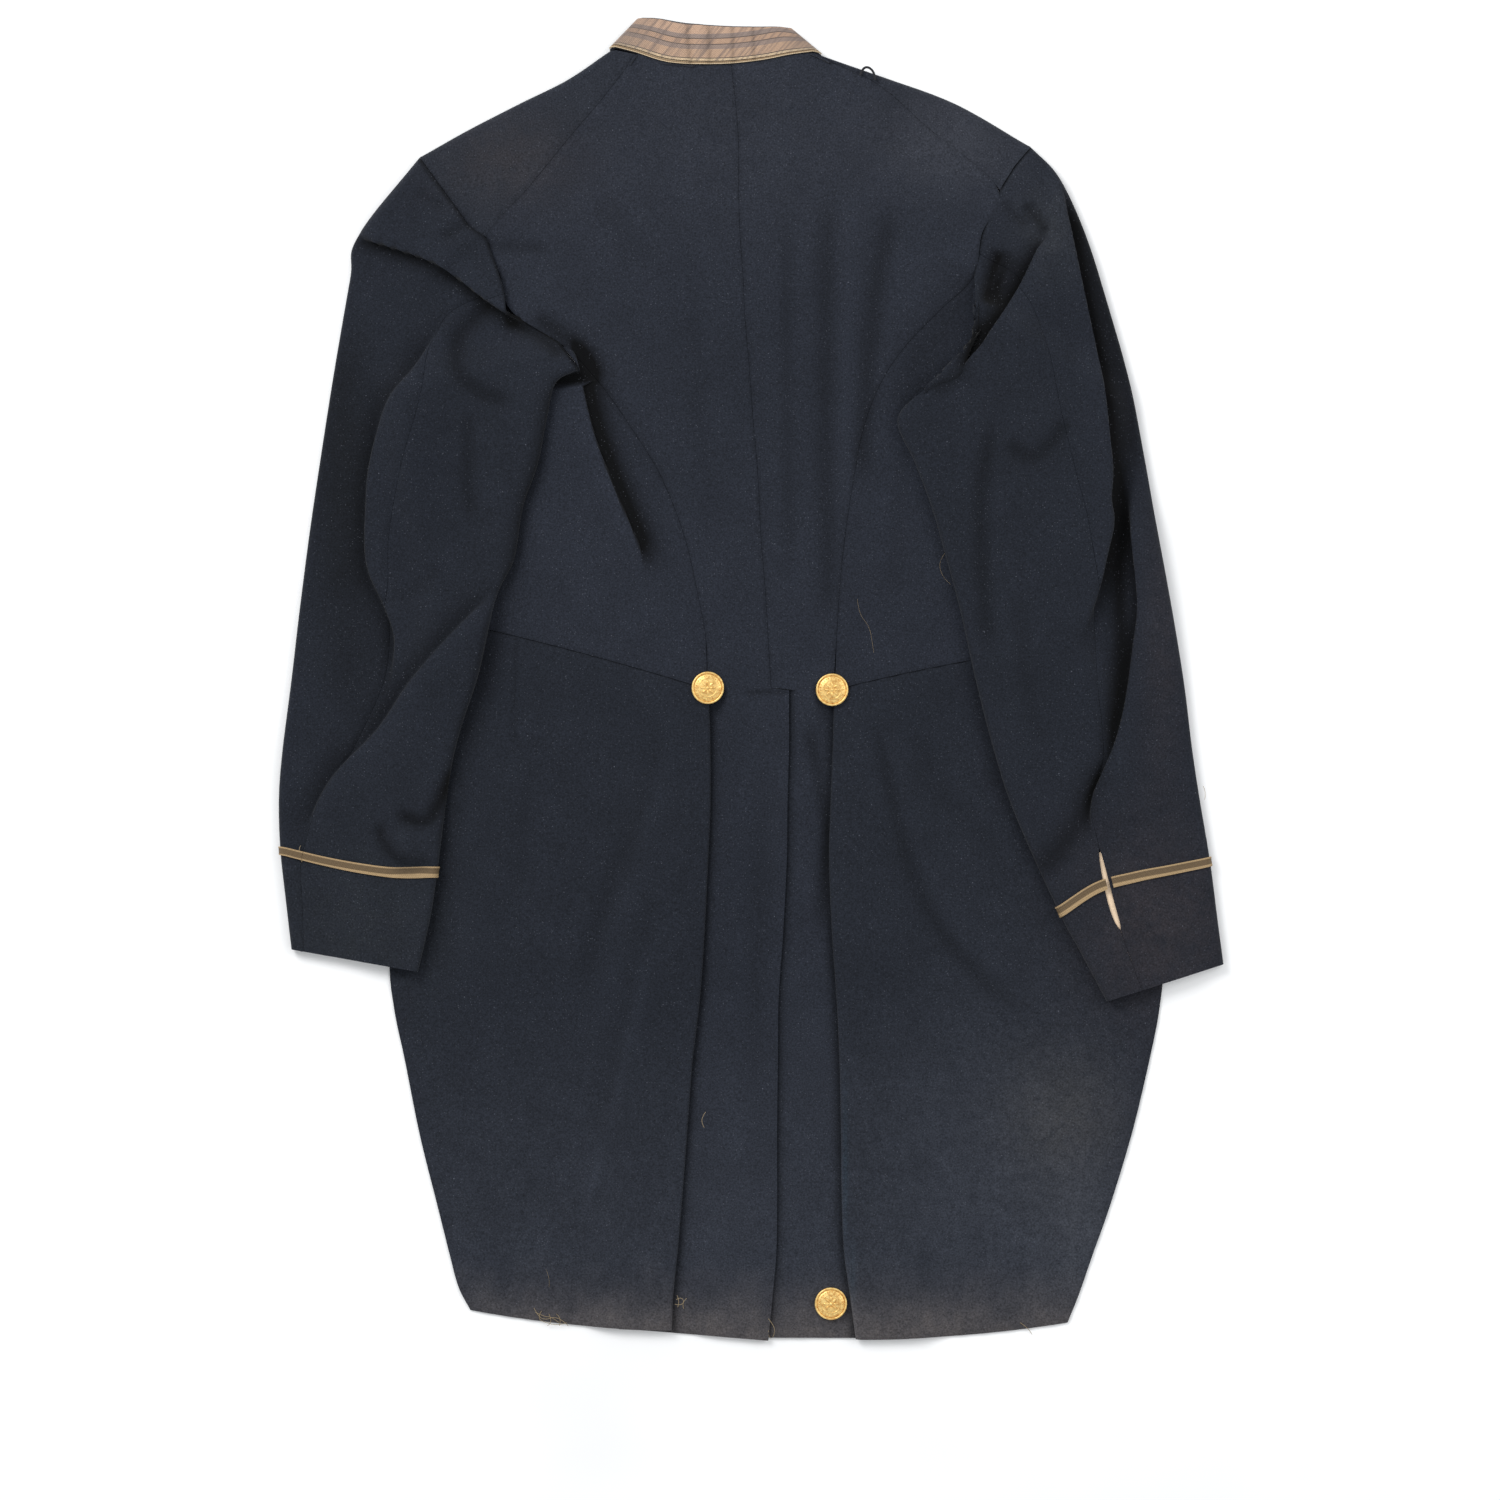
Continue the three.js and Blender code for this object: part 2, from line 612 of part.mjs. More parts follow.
// A straight way from one place towards another, by distance, bowed along the coat.
function straight(from, to, bow = 0) {
  const length = from.distanceTo(to);
  return (distance) => {
    const t = distance / length;
    const place = from.clone().lerp(to, t);
    place.y += 4 * bow * t * (1 - t);
    return place;
  };
}

const floor = () => 0;

const neckY = (x) => column(NECK, "seamY", rowWhere(NECK, "seamX", x));

// A back panel with its tail: side seam to centre seam, then pleat to vent.
function backPanel(side) {
  const laps = side === LEFT;
  const body = samples(BACK).map((at) => {
    const seam = beside(BACK, side.seamX, side.seamY, at, (-side.sign * SEAM) / 2);
    const centre = place(BACK, "centreX", "centreY", at);
    const row = flatSection(seam, centre, GRID.back, torsoTop, [0, SEAM / 2]);
    if (at === 0) row.slice(1).forEach(({ p }) => p.setY(neckY(p.x) - SEAM / 2));
    return row;
  });
  const tail = samples(TAILS, 1).map((at) => {
    const y = column(TAILS, "y", at);
    const deep = smooth((TAILS[0].y - y) / PLEAT_START);
    const hidden = column(TAILS, side.pleat, at) + side.sign * (deep * PLEAT - PLEAT_INSET);
    const vent = column(TAILS, "vent", at) - (laps ? 0 : lerp(-SEAM, VENT_LAP, deep));
    const hem = Math.max(at - TAILS.length + 2, 0);
    const from = point(hidden, y + hem * side.pleatHem);
    return flatSection(from, point(vent, y - VENT_HEM * hem), GRID.back, (x, z) => tailTop(x, z, laps), [0, 0]);
  });
  return wall([...body, ...tail]);
}

// A side panel, from the curved back seam to the armhole and then to the underarm seam.
function sideBody(side) {
  const last = BACK.length - 1;
  const corner = waistCorner(side);
  const rows = samples(BACK, STEPS, side.sideTop).map((at) => {
    const seam = beside(BACK, side.seamX, side.seamY, at, (side.sign * SEAM) / 2);
    if (at < side.armpit) {
      const part = (at - side.sideTop) / (side.armpit - side.sideTop);
      const armhole = place(side.sideArmhole, "x", "y", part * (side.sideArmhole.length - 1));
      return flatSection(seam, armhole, GRID.side, torsoTop, [0, SEAM / 2]);
    }
    const y = lerp(side.side[0].y, corner.y, (at - side.armpit) / (last - side.armpit));
    const edge = point(sideX(side, y) - side.sign * UNDERARM, y);
    const row = flatSection(seam, edge, GRID.side, torsoTop, [0, SEAM / 2]);
    if (at === last) row.forEach(({ p }) => p.setY(waistY(p.x) + SEAM));
    return row;
  });
  return wall(rows);
}

// A front: flat on the surface below, and folded round the coat's side and over its shoulder.
function frontPanel(side) {
  const inset = (TUCK + BODY / 2) / 2;
  const neck = samples(side.frontNeck).map((at) => {
    const seam = place(side.frontNeck, "seamX", "seamY", at);
    const down = seam.clone().sub(place(side.frontNeck, "topX", "topY", at)).normalize();
    return seam.addScaledVector(down, NECK_SEAM);
  });
  const shoulder = samples(side.shoulder).map((at) => {
    const edge = place(side.shoulder, "x", "y", at);
    const seam = beside(BACK, side.seamX, side.seamY, at, (side.sign * SEAM) / 2);
    const part = at / (side.shoulder.length - 1);
    const below = neck[1].clone().lerp(point(side.armhole[1].x, side.armhole[1].y), part);
    return { edge, seam, over: straight(edge, seam), under: straight(edge, part < 1 ? below : seam) };
  });
  const corner = waistCorner(side);
  const fall = (corner.y - side.side[side.side.length - 1].y) / (side.side.length - 1);
  const flank = samples(side.side).map((at) => {
    const edge = place(side.side, "x", "y", at);
    const seam = point(edge.x - side.sign * (UNDERARM - SEAM / 2), edge.y + fall * at);
    return { edge, seam, over: straight(edge, seam), under: straight(edge, seam) };
  });
  const strip = ({ edge, seam, over, under }) =>
    foldedSection({
      over,
      under,
      overFrom: edge.distanceTo(seam),
      underTo: TUCK,
      top: torsoTop,
      bottom: floor,
      counts: [3, 1],
    });
  const scoop = armholeNormal(side).multiplyScalar(-FRONT_SCOOP);
  const armhole = side.armhole.slice(1).map(({ x, y }) => point(x, y).add(scoop));
  const armpit = side.armhole[side.armhole.length - 1].x + side.sign * ARMPIT_REACH;
  const edge = CENTRE_FRONT + FRONT_LAP / 2 + (side === RIGHT ? SEAM : 0);
  const neckTop = neck[neck.length - 1].y - NECK_TRIM;
  const bottom = (x) => point(x, waistY(x) + WAIST_TRIM);
  const inner = neck.slice(1).filter(({ x }) => side === LEFT || x > edge);
  const outline = [
    ...shoulder.map(({ under }) => under(inset)),
    ...armhole,
    point(armpit, armholeBottom(side, armpit) - ARMPIT_TRIM),
    ...flank.map(({ under }) => under(inset)),
    bottom(side.sign * WAIST_CORNER),
    bottom(edge),
    point(edge, neckTop),
    ...inner.reverse(),
  ];
  const pieces = [sheet(outline, 0, CLOTH), wall(shoulder.map(strip)), wall(flank.map(strip))];
  if (side === RIGHT) {
    const riser = edge + LAP_RISER;
    const between = (from, to) => [bottom(from), bottom(to), point(to, neckTop), point(from, neckTop)];
    pieces.push(sheet(between(edge - FRONT_LAP, riser), CLOTH + LAYER, TWO_LAYERS));
    pieces.push(sheet(between(edge, riser), 0, TWO_LAYERS));
  }
  return joined(pieces);
}

// A skirt panel: its back edge is folded under as a pleat, and its front edge is cut away in a curve.
function skirtPanel(side) {
  const rows = samples(side.skirt, 1).map((at) => {
    const gap = at === 0 ? SEAM : 0;
    const pleat = place(side.skirt, "pleatX", "pleatY", at).sub(point(0, gap));
    const edge = place(side.skirt, "edgeX", "edgeY", at).sub(point(0, gap));
    const way = straight(pleat, edge, column(side.skirt, "bow", at));
    const deep = smooth((side.skirt[0].pleatY - pleat.y) / PLEAT_START);
    return foldedSection({
      over: way,
      under: way,
      overFrom: pleat.distanceTo(edge),
      underTo: lerp(PLEAT_TOP, PLEAT, deep),
      top: skirtTop,
      bottom: (x, y) => skirtTop(x, y) - TWO_LAYERS,
      counts: [GRID.skirt, GRID.pleat],
    });
  });
  return wall(rows);
}

// Place on an armhole's line at a fraction of its length.
function onArmhole(rows, part) {
  const steps = rows.slice(1).map((row, i) => Math.hypot(row.x - rows[i].x, row.y - rows[i].y));
  let left = part * steps.reduce((sum, step) => sum + step, 0);
  let i = 0;
  while (i < steps.length - 1 && left > steps[i]) left -= steps[i++];
  return point(lerp(rows[i].x, rows[i + 1].x, left / steps[i]), lerp(rows[i].y, rows[i + 1].y, left / steps[i]));
}

// The way that a sleeve leaves its armhole.
function armholeNormal({ armhole, sign }) {
  const [first, last] = [armhole[0], armhole[armhole.length - 1]];
  const across = point(last.x - first.x, last.y - first.y).normalize();
  return point(-sign * across.y, sign * across.x);
}

// A section across a sleeve: places by fraction from the outer to the inner edge, and its length.
// The first sections bend to follow the armhole.
function sleeveSection(side, at) {
  const outer = place(side.sleeve, "outerX", "outerY", at);
  const inner = place(side.sleeve, "innerX", "innerY", at);
  const length = outer.distanceTo(inner);
  const chord = [side.armhole[0], side.armhole[side.armhole.length - 1]].map(({ x, y }) => point(x, y));
  const away = armholeNormal(side).multiplyScalar(MOUTH);
  const bent = Math.max(1 - at / ARMHOLE_ROWS, 0) ** 2;
  const where = (part) => {
    const bend = onArmhole(side.armhole, clamp(part, 0, 1)).sub(chord[0].clone().lerp(chord[1], clamp(part, 0, 1)));
    return outer.clone().lerp(inner, part).addScaledVector(bend.add(away), bent);
  };
  return { where, length };
}

const sleeveTop = (side) => (x, y) => support(side, x, y) + SLEEVE + relief(side.folds, x, y);

// The two pieces of a sleeve meet at the hind-arm seam above and at the forearm seam underneath.
function sleeveRow(side, at, isUpper) {
  const { where, length } = sleeveSection(side, at);
  const seam = column(side.sleeve, "seam", at);
  const gap = SEAM / 2 + SLIT * clamp(column(side.sleeve, "slit", at), 0, 1);
  const way = (distance) => where(isUpper ? distance / length : 1 - distance / length);
  return foldedSection({
    over: way,
    under: way,
    overFrom: (isUpper ? seam : 1 - seam) * length - gap,
    underTo: (isUpper ? FOREARM_SEAM : 1 - FOREARM_SEAM) * length - SEAM / 2,
    top: sleeveTop(side),
    bottom: (x, y) => support(side, x, y),
    counts: isUpper ? [GRID.sleeve, GRID.hidden] : [GRID.undersleeve, 2],
  });
}

// Moves a section's points outwards, as far as the outer face of something that lies on it.
const liftedBy = (section, height) => section.map(({ p, n }) => ({ p: p.clone().addScaledVector(n, height), n }));

// Braid round a cuff, on one of the sleeve's two pieces, down to the middle of its folded edge.
function cuffBraid(side, isUpper) {
  const rows = [-1, 0, 1].map((step) => {
    const section = sleeveRow(side, side.braidRow + (step * CUFF_BRAID) / 2 / ROW, isUpper);
    const turned = (isUpper ? GRID.sleeve : GRID.undersleeve) + GRID.arc + 1;
    return liftedBy(section.slice(0, turned), LAYER + LACE);
  });
  return wall(rows, LACE);
}

// The lining that shows in the open cuff slit.
function cuffLining(side) {
  const rows = LINING_ROWS.map((at) => {
    const { where, length } = sleeveSection(side, at);
    const seam = column(side.sleeve, "seam", at);
    const reach = SLIT_BACKING / length;
    const under = (x, y) => sleeveTop(side)(x, y) - CLOTH - LAYER;
    return flatSection(where(seam - reach), where(seam + reach), 4, under);
  });
  return wall(rows, LACE);
}

// A section round the collar at a part of its height: front end, left fold, back, right fold, front end.
function collarRow(part) {
  const neck = (rows) => (at) => {
    const seam = place(rows, "seamX", "seamY", at);
    return seam.lerp(place(rows, "topX", "topY", at), part);
  };
  const back = neck(NECK);
  const top = () => lerp(BODY, COLLAR_TOP, part);
  const middle = (NECK.length - 1) / 2;
  const half = (isLeft) => {
    const front = neck(isLeft ? FRONT_NECK_LEFT : FRONT_NECK_RIGHT);
    const start = isLeft ? 0 : NECK.length - 1;
    const turn = isLeft ? 1 : -1;
    const backLength = back(start).distanceTo(back(middle));
    const frontLength = back(start).distanceTo(front(FRONT_NECK_LEFT.length - 1));
    return foldedSection({
      over: (distance) => back(start + (turn * middle * distance) / backLength),
      under: (distance) => front(((FRONT_NECK_LEFT.length - 1) * distance) / frontLength),
      overFrom: backLength,
      underTo: frontLength,
      top,
      bottom: floor,
      counts: [GRID.collar, GRID.collar],
    });
  };
  return [...half(true).reverse(), ...half(false).slice(1)];
}

// Something that lies along the back of the collar, between two parts of its height.
function onCollar(low, high, thickness, steps) {
  const rows = Array.from({ length: steps + 1 }, (_, k) => {
    const section = collarRow(lerp(low, high, k / steps));
    const hidden = GRID.collar + GRID.arc;
    return liftedBy(section.slice(hidden, section.length - hidden), LAYER + thickness);
  });
  return wall(rows, thickness);
}

// A domed gilt button with a raised rim and ring, its back flat on the cloth.
function button(x, y, height) {
  const profile = table("radius rise", [
    [0, 0],
    [BUTTON - 1, 0],
    [BUTTON, 0.9],
    [BUTTON - 0.3, 2.2],
    [BUTTON - 1.3, 2.6],
    [BUTTON - 2, 2.2],
    [BUTTON - 4, 2.9],
    [BUTTON - 4.8, 3.3],
    [BUTTON - 5.6, 3.1],
    [0, 3.7],
  ]).map(({ radius, rise }) => point(radius, rise));
  return new THREE.LatheGeometry(profile, BUTTON_SIDES).rotateX(Math.PI / 2).translate(x, y, height + LAYER);
}

// The small cord loop on the right shoulder, which once held an epaulette.
function shoulderLoop() {
  const path = table("x y lift", [
    [74, 407, 0.4],
    [75.5, 411.5, 1],
    [79.5, 412.5, 1.4],
    [83.5, 408.5, 1],
    [84, 403.5, 0.4],
  ]).map(({ x, y, lift }) => new THREE.Vector3(x, y, torsoTop(x, y) + LOOP_RADIUS + LAYER + lift));
  const section = new THREE.Shape().absarc(0, 0, LOOP_RADIUS, 0, 2 * Math.PI);
  return new THREE.ExtrudeGeometry(section, {
    extrudePath: new THREE.CatmullRomCurve3(path),
    steps: GRID.loop,
    curveSegments: 6,
    bevelEnabled: false,
  });
}

const coat = new THREE.Group();

function finish(color, roughness, metalness) {
  return new THREE.MeshStandardMaterial({ color, roughness, metalness });
}

const WOOL_FINISH = finish(NAVY, 0.95, 0);
const LACE_FINISH = finish(GOLD_LACE, 0.7, 0.2);
const BRAID_FINISH = finish(BRAID, 0.6, 0.3);
const GILT_FINISH = finish(GILT, 0.35, 0.9);
const LINING_FINISH = finish(LINING, 0.9, 0);
const CORD_FINISH = finish(CORD, 0.9, 0);

function add(name, geometry, material = WOOL_FINISH) {
  const mesh = new THREE.Mesh(geometry, material);
  mesh.name = name;
  coat.add(mesh);
}

for (const side of [LEFT, RIGHT]) {
  add(`back_${side.name}`, backPanel(side));
  add(`side_body_${side.name}`, sideBody(side));
  add(`front_${side.name}`, frontPanel(side));
  add(`skirt_${side.name}`, skirtPanel(side));
  add(`sleeve_${side.name}_upper`, wall(samples(side.sleeve).map((at) => sleeveRow(side, at, true))));
  add(`sleeve_${side.name}_under`, wall(samples(side.sleeve).map((at) => sleeveRow(side, at, false))));
  add(`cuff_braid_${side.name}_upper`, cuffBraid(side, true), BRAID_FINISH);
  add(`cuff_braid_${side.name}_under`, cuffBraid(side, false), BRAID_FINISH);
}
add("cuff_lining_right", cuffLining(RIGHT), LINING_FINISH);
add("collar", wall([SEAM / COLLAR_HEIGHT, 0.5, 1].map(collarRow)));
add("collar_lace", onCollar(LACE_START, 1 - COLLAR_BARE / COLLAR_HEIGHT, LACE, 2), LACE_FINISH);
add("neck_braid", onCollar(NECK_BRAID[0], NECK_BRAID[1], LACE, 1), BRAID_FINISH);
const BUTTONS = table("name x y height", [
  ["hip_button_left", -28.7, -5.7, BODY],
  ["hip_button_right", 55, -7, BODY],
  ["tail_button_right", 54.3, -421, CLOTH],
]);
for (const { name, x, y, height } of BUTTONS) add(name, button(x, y, height), GILT_FINISH);
add("shoulder_loop_right", shoulderLoop(), CORD_FINISH);

export default coat;
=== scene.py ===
# %% [markdown]
# # A wool tailcoat, laid on its front
# The coat is cloth all over: thick navy wool cut in panels, sewn into a body with two sleeves, and pressed
# flat. Gold lace goes round the collar, braid round the cuffs, and gilt buttons mark the waist.
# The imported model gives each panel's place and size. This lesson makes the fine surface of every panel,
# from the same tailor's measurements, so the cloth lies exactly where the model says.

# %% Load the model and note its box
import math

import bpy
import numpy as np
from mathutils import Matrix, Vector


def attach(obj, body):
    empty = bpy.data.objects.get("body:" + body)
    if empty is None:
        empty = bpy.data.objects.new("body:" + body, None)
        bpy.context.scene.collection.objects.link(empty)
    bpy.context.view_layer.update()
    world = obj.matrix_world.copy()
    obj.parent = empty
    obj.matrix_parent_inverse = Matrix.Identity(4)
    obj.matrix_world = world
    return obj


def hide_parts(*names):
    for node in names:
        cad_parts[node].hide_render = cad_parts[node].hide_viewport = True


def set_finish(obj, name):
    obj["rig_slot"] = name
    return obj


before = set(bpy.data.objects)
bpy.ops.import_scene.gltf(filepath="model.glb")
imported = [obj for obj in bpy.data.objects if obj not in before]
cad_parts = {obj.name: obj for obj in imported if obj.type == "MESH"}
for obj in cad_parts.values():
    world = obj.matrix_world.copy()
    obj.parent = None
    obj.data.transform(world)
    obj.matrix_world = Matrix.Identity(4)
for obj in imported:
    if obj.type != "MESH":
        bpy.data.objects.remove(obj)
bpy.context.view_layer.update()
MM = 0.001


def rounded(values):
    return [round(v, 4) for v in values]


# %% [markdown]
# ## Camera, surface and light
# The coat was photographed from straight above, on white. A long lens from far away keeps the panels square
# to the picture, which a near camera would not. The light is what a photographer uses for dark cloth: a wide
# soft source high on one side, so that folds cast a soft shade, and a pale surround that fills the rest.

# %% Camera, surface and light
VIEW_WIDTH = 1.0125
VIEW_CENTRE = (-0.0003, -0.0476)
LENS = 135


def add_camera():
    data = bpy.data.cameras.new("camera")
    data.lens = LENS
    distance = VIEW_WIDTH * LENS / data.sensor_width
    data.clip_end = 2 * distance
    camera = bpy.data.objects.new("camera", data)
    camera.location = (*VIEW_CENTRE, distance)
    bpy.context.scene.collection.objects.link(camera)
    bpy.context.scene.camera = camera
    return distance


def add_area_light(name, place, size, watts):
    data = bpy.data.lights.new(name, "AREA")
    data.size = size
    data.energy = watts
    light = bpy.data.objects.new(name, data)
    light.location = place
    light.rotation_euler = (-Vector(place)).to_track_quat("-Z", "Y").to_euler()
    bpy.context.scene.collection.objects.link(light)


distance = add_camera()
add_area_light("soft_box", (-1.5, 1.5, 1.8), 1.3, 46)
add_area_light("fill", (1.7, 0.6, 1.6), 1.4, 14)
world = bpy.data.worlds.new("surround")
world.use_nodes = True
world.node_tree.nodes["Background"].inputs["Color"].default_value = (0.96, 0.98, 1.0, 1)
world.node_tree.nodes["Background"].inputs["Strength"].default_value = 0.74
bpy.context.scene.world = world
bpy.context.scene.view_settings.view_transform = "Standard"
print("camera", round(distance, 2), "m above the surface")

# %% [markdown]
# ## The tailor's measurements
# A tailor drafts each panel from a short list of places along its seams. The tables below are that draft,
# in millimetres, with X across the coat and Y from the hem to the neck. A row is one level of the coat,
# and smooth curves through the rows give the seams between them.

# %% Measurements of the body
CLOTH, SEAM, MOUTH, LAYER, CLEAR = 1.8, 0.16, 0.2, 0.3, 1.0
BODY, SLEEVE, FOREARM_SEAM = 7.5, 7.5, 0.85
FALL, HELD, WAIST_FALL = 24, 10, 55
PLEAT, PLEAT_START, PLEAT_SLOPE, TUCK, UNDERARM = 36, 40, 26, 9, 14
PLEAT_FLAT, PLEAT_INSET, PLEAT_TOP = 2, 1.5, 5
VENT_LAP, VENT_SLOPE, VENT_FLAT, VENT_STEP, FRONT_LAP = 28, 24, 4, 5, 42
TAIL_HIDDEN, TAIL_RISE = 3, 12
ARMHOLE_TILT, ARMHOLE_ROWS, ROW_SPACING = 0.9, 1.6, 38
CENTRE, CENTRE_FRONT = 14, -7
THREE_LAYERS, TWO_LAYERS = 3 * CLOTH + 2 * LAYER, 2 * CLOTH + LAYER


def table(names, rows):
    """Turns rows of numbers into columns with names."""
    return dict(zip(names.split(), np.array(rows, float).T))


BACK = table("leftX leftY centreX centreY rightX rightY", [
    [-77, 421, -13, 413, 40, 421.5],
    [-100, 391, -10, 388, 84, 402],
    [-122, 365, -8, 360, 120, 371],
    [-149, 332, -8, 330, 166.5, 331],
    [-178, 298, -7, 300, 156, 300],
    [-169, 273, -5, 272, 150, 271],
    [-161, 248, -4, 248, 128, 249],
    [-125, 224, -2, 224, 104, 224],
    [-102, 200, 0, 200, 88, 200],
    [-82, 172, 2, 172, 77, 172],
    [-61, 138, 5, 138, 70, 138],
    [-45, 98, 7, 98, 64, 98],
    [-36, 60, 10, 60, 60, 60],
    [-30, 27, 12, 27, 58, 27],
    [-29, -5, 14, -6, 56, -5],
])
TAILS = table("y leftPleat vent rightPleat", [
    [-7.4, -28.6, 26, 56.6],
    [-14, -28.5, 26, 56.5],
    [-28, -27.5, 26, 56],
    [-45, -27, 26, 55.5],
    [-85, -27, 25, 54],
    [-122, -28.5, 24.5, 53],
    [-172, -31, 22, 55],
    [-215, -34, 19, 58],
    [-257, -39, 18.5, 60],
    [-304, -42.5, 18, 61],
    [-350, -46, 18, 61.5],
    [-385, -49, 17.5, 63],
    [-415, -52, 15, 67],
    [-443, -53, 12, 71],
])
LEFT_SKIRT = table("pleatX pleatY edgeX edgeY bow", [
    [-28.5, -7, -197, 38, 2],
    [-27.5, -25, -205, 10, 1.5],
    [-27, -45, -214, -22, 1],
    [-27, -85, -231, -85, 0],
    [-28.5, -122, -240, -135, 0],
    [-31, -172, -243.5, -190, 0],
    [-34, -215, -240.5, -222, 0],
    [-39, -257, -233, -258, 0],
    [-42.5, -304, -223, -308, 0],
    [-46, -350, -211, -356, 0],
    [-49, -385, -203, -388, 0],
    [-52, -415, -197, -410, -1],
    [-53, -439, -189, -425.5, -3],
])
RIGHT_SKIRT = table("pleatX pleatY edgeX edgeY bow", [
    [56.5, -7, 205, 22, 2],
    [56, -25, 218, -3, 1.5],
    [55.5, -45, 231, -30, 1],
    [54, -85, 255, -85, 0],
    [53, -122, 270, -135, 0],
    [55, -172, 278, -190, 0],
    [58, -215, 276, -222, 0],
    [60, -257, 269, -258, 0],
    [61, -304, 257.5, -306, 0],
    [61.5, -350, 243, -354, 0],
    [63, -385, 231, -388, 0],
    [67, -415, 222, -414, -1],
    [71, -445, 214, -434, -3],
])
LEFT_SIDE = table("x y", [[-222, 184], [-218, 150], [-209, 105], [-201, 68], [-197, 40]])
RIGHT_SIDE = table("x y", [[228, 184], [225, 150], [217, 105], [210, 62], [205, 24]])
LEFT_ARMHOLE = table("x y", [
    [-223, 352], [-210, 334], [-189, 305], [-178, 298], [-169, 273], [-161, 248], [-129, 227], [-116, 208],
])
RIGHT_ARMHOLE = table("x y", [
    [189, 359], [178, 346], [168, 330], [161, 314], [156, 300], [150, 271], [152, 250], [152, 238],
])
LEFT_SIDE_ARMHOLE = table("x y", [[-127, 224], [-122, 216], [-117, 207]])
RIGHT_SIDE_ARMHOLE = table("x y", [[151, 268], [151, 240], [157, 212]])
LEFT_SHOULDER = table("x y", [[-94, 424.5], [-122, 405], [-154, 389], [-189, 371], [-223, 352]])
RIGHT_SHOULDER = table("x y", [[47, 421.5], [90, 406], [138, 388], [189, 359]])

# %% Measurements of the sleeves and the neck
LEFT_SLEEVE = table("outerX outerY innerX innerY seam slit", [
    [-223, 352, -116, 208, 0.6, 0],
    [-265, 298, -131, 199, 0.49, 0],
    [-270, 270, -137, 175, 0.437, 0],
    [-280.5, 209, -143, 145, 0.412, 0],
    [-289, 155, -153, 116, 0.391, 0],
    [-297, 101, -159, 81, 0.387, 0],
    [-304, 47, -171, 55, 0.459, 0],
    [-309.5, 0, -182.6, 5, 0.5, 0],
    [-315.6, -48, -195, -33, 0.42, 0],
    [-318, -80, -203, -68, 0.29, 0],
    [-317, -115, -211, -130, 0.142, 0],
    [-313, -152, -216, -162, 0.113, 0],
    [-309.5, -182, -224, -197, 0.1, 0],
])
RIGHT_SLEEVE = table("outerX outerY innerX innerY seam slit", [
    [189, 359, 152, 238, 0.62, 0],
    [208, 338.5, 141, 206, 0.475, 0],
    [226, 300, 118, 195, 0.372, 0],
    [243, 246, 99, 175, 0.302, 0],
    [256, 199, 111, 145, 0.326, 0],
    [266, 148, 122.5, 114, 0.325, 0],
    [273, 108, 131, 84, 0.317, 0],
    [283, 54, 141, 47, 0.366, 0],
    [292, 0, 151.5, 0, 0.417, 0],
    [298, -48, 165, -51, 0.453, 0],
    [303, -81, 178.5, -91.5, 0.573, 0],
    [310, -123, 208, -157, 0.67, 1],
    [315, -162, 222, -183, 0.68, 0.75],
    [319, -192, 240, -217, 0.702, 0],
])
NECK = table("seamX seamY topX topY", [
    [-93, 426, -75, 446],
    [-78, 422, -62, 445.5],
    [-54, 415, -44, 442.5],
    [-21, 414, -18, 440.5],
    [6, 416.5, 4, 440],
    [27, 420.5, 18, 440],
    [45, 423, 27, 439],
])
FRONT_NECK_LEFT = table("seamX seamY topX topY", [
    [-93, 426, -75, 446],
    [-84, 396, -60, 418],
    [-60, 374, -42, 402],
    [-31, 365, -24, 399],
    [-7.5, 363, -7.5, 397],
])
FRONT_NECK_RIGHT = table("seamX seamY topX topY", [
    [45, 423, 27, 439],
    [51, 397, 27, 414],
    [36, 375, 20, 401],
    [13, 365, 8, 398],
    [-6.5, 363, -6.5, 397],
])
LEFT = {
    "name": "left", "sign": -1, "seam": ("leftX", "leftY"), "pleat": "leftPleat", "armhole": LEFT_ARMHOLE,
    "shoulder": LEFT_SHOULDER, "front_neck": FRONT_NECK_LEFT, "side": LEFT_SIDE, "side_top": 7, "armpit": 8,
    "side_armhole": LEFT_SIDE_ARMHOLE, "skirt": LEFT_SKIRT, "sleeve": LEFT_SLEEVE,
    "armhole_foot": (-116, 208, 0.23), "hem_hidden": 5, "hem_at_vent": 3,
}
RIGHT = {
    "name": "right", "sign": 1, "seam": ("rightX", "rightY"), "pleat": "rightPleat",
    "armhole": RIGHT_ARMHOLE, "shoulder": RIGHT_SHOULDER, "front_neck": FRONT_NECK_RIGHT,
    "side": RIGHT_SIDE, "side_top": 5, "armpit": 7.5, "side_armhole": RIGHT_SIDE_ARMHOLE,
    "skirt": RIGHT_SKIRT, "sleeve": RIGHT_SLEEVE,
    "armhole_foot": (150, 242, -0.72), "hem_hidden": -1.5, "hem_at_vent": 1,
}
outer_edge = np.hypot(np.diff(LEFT_SLEEVE["outerX"]), np.diff(LEFT_SLEEVE["outerY"]))
print("sleeve length on the outside:", round(outer_edge.sum()), "mm")
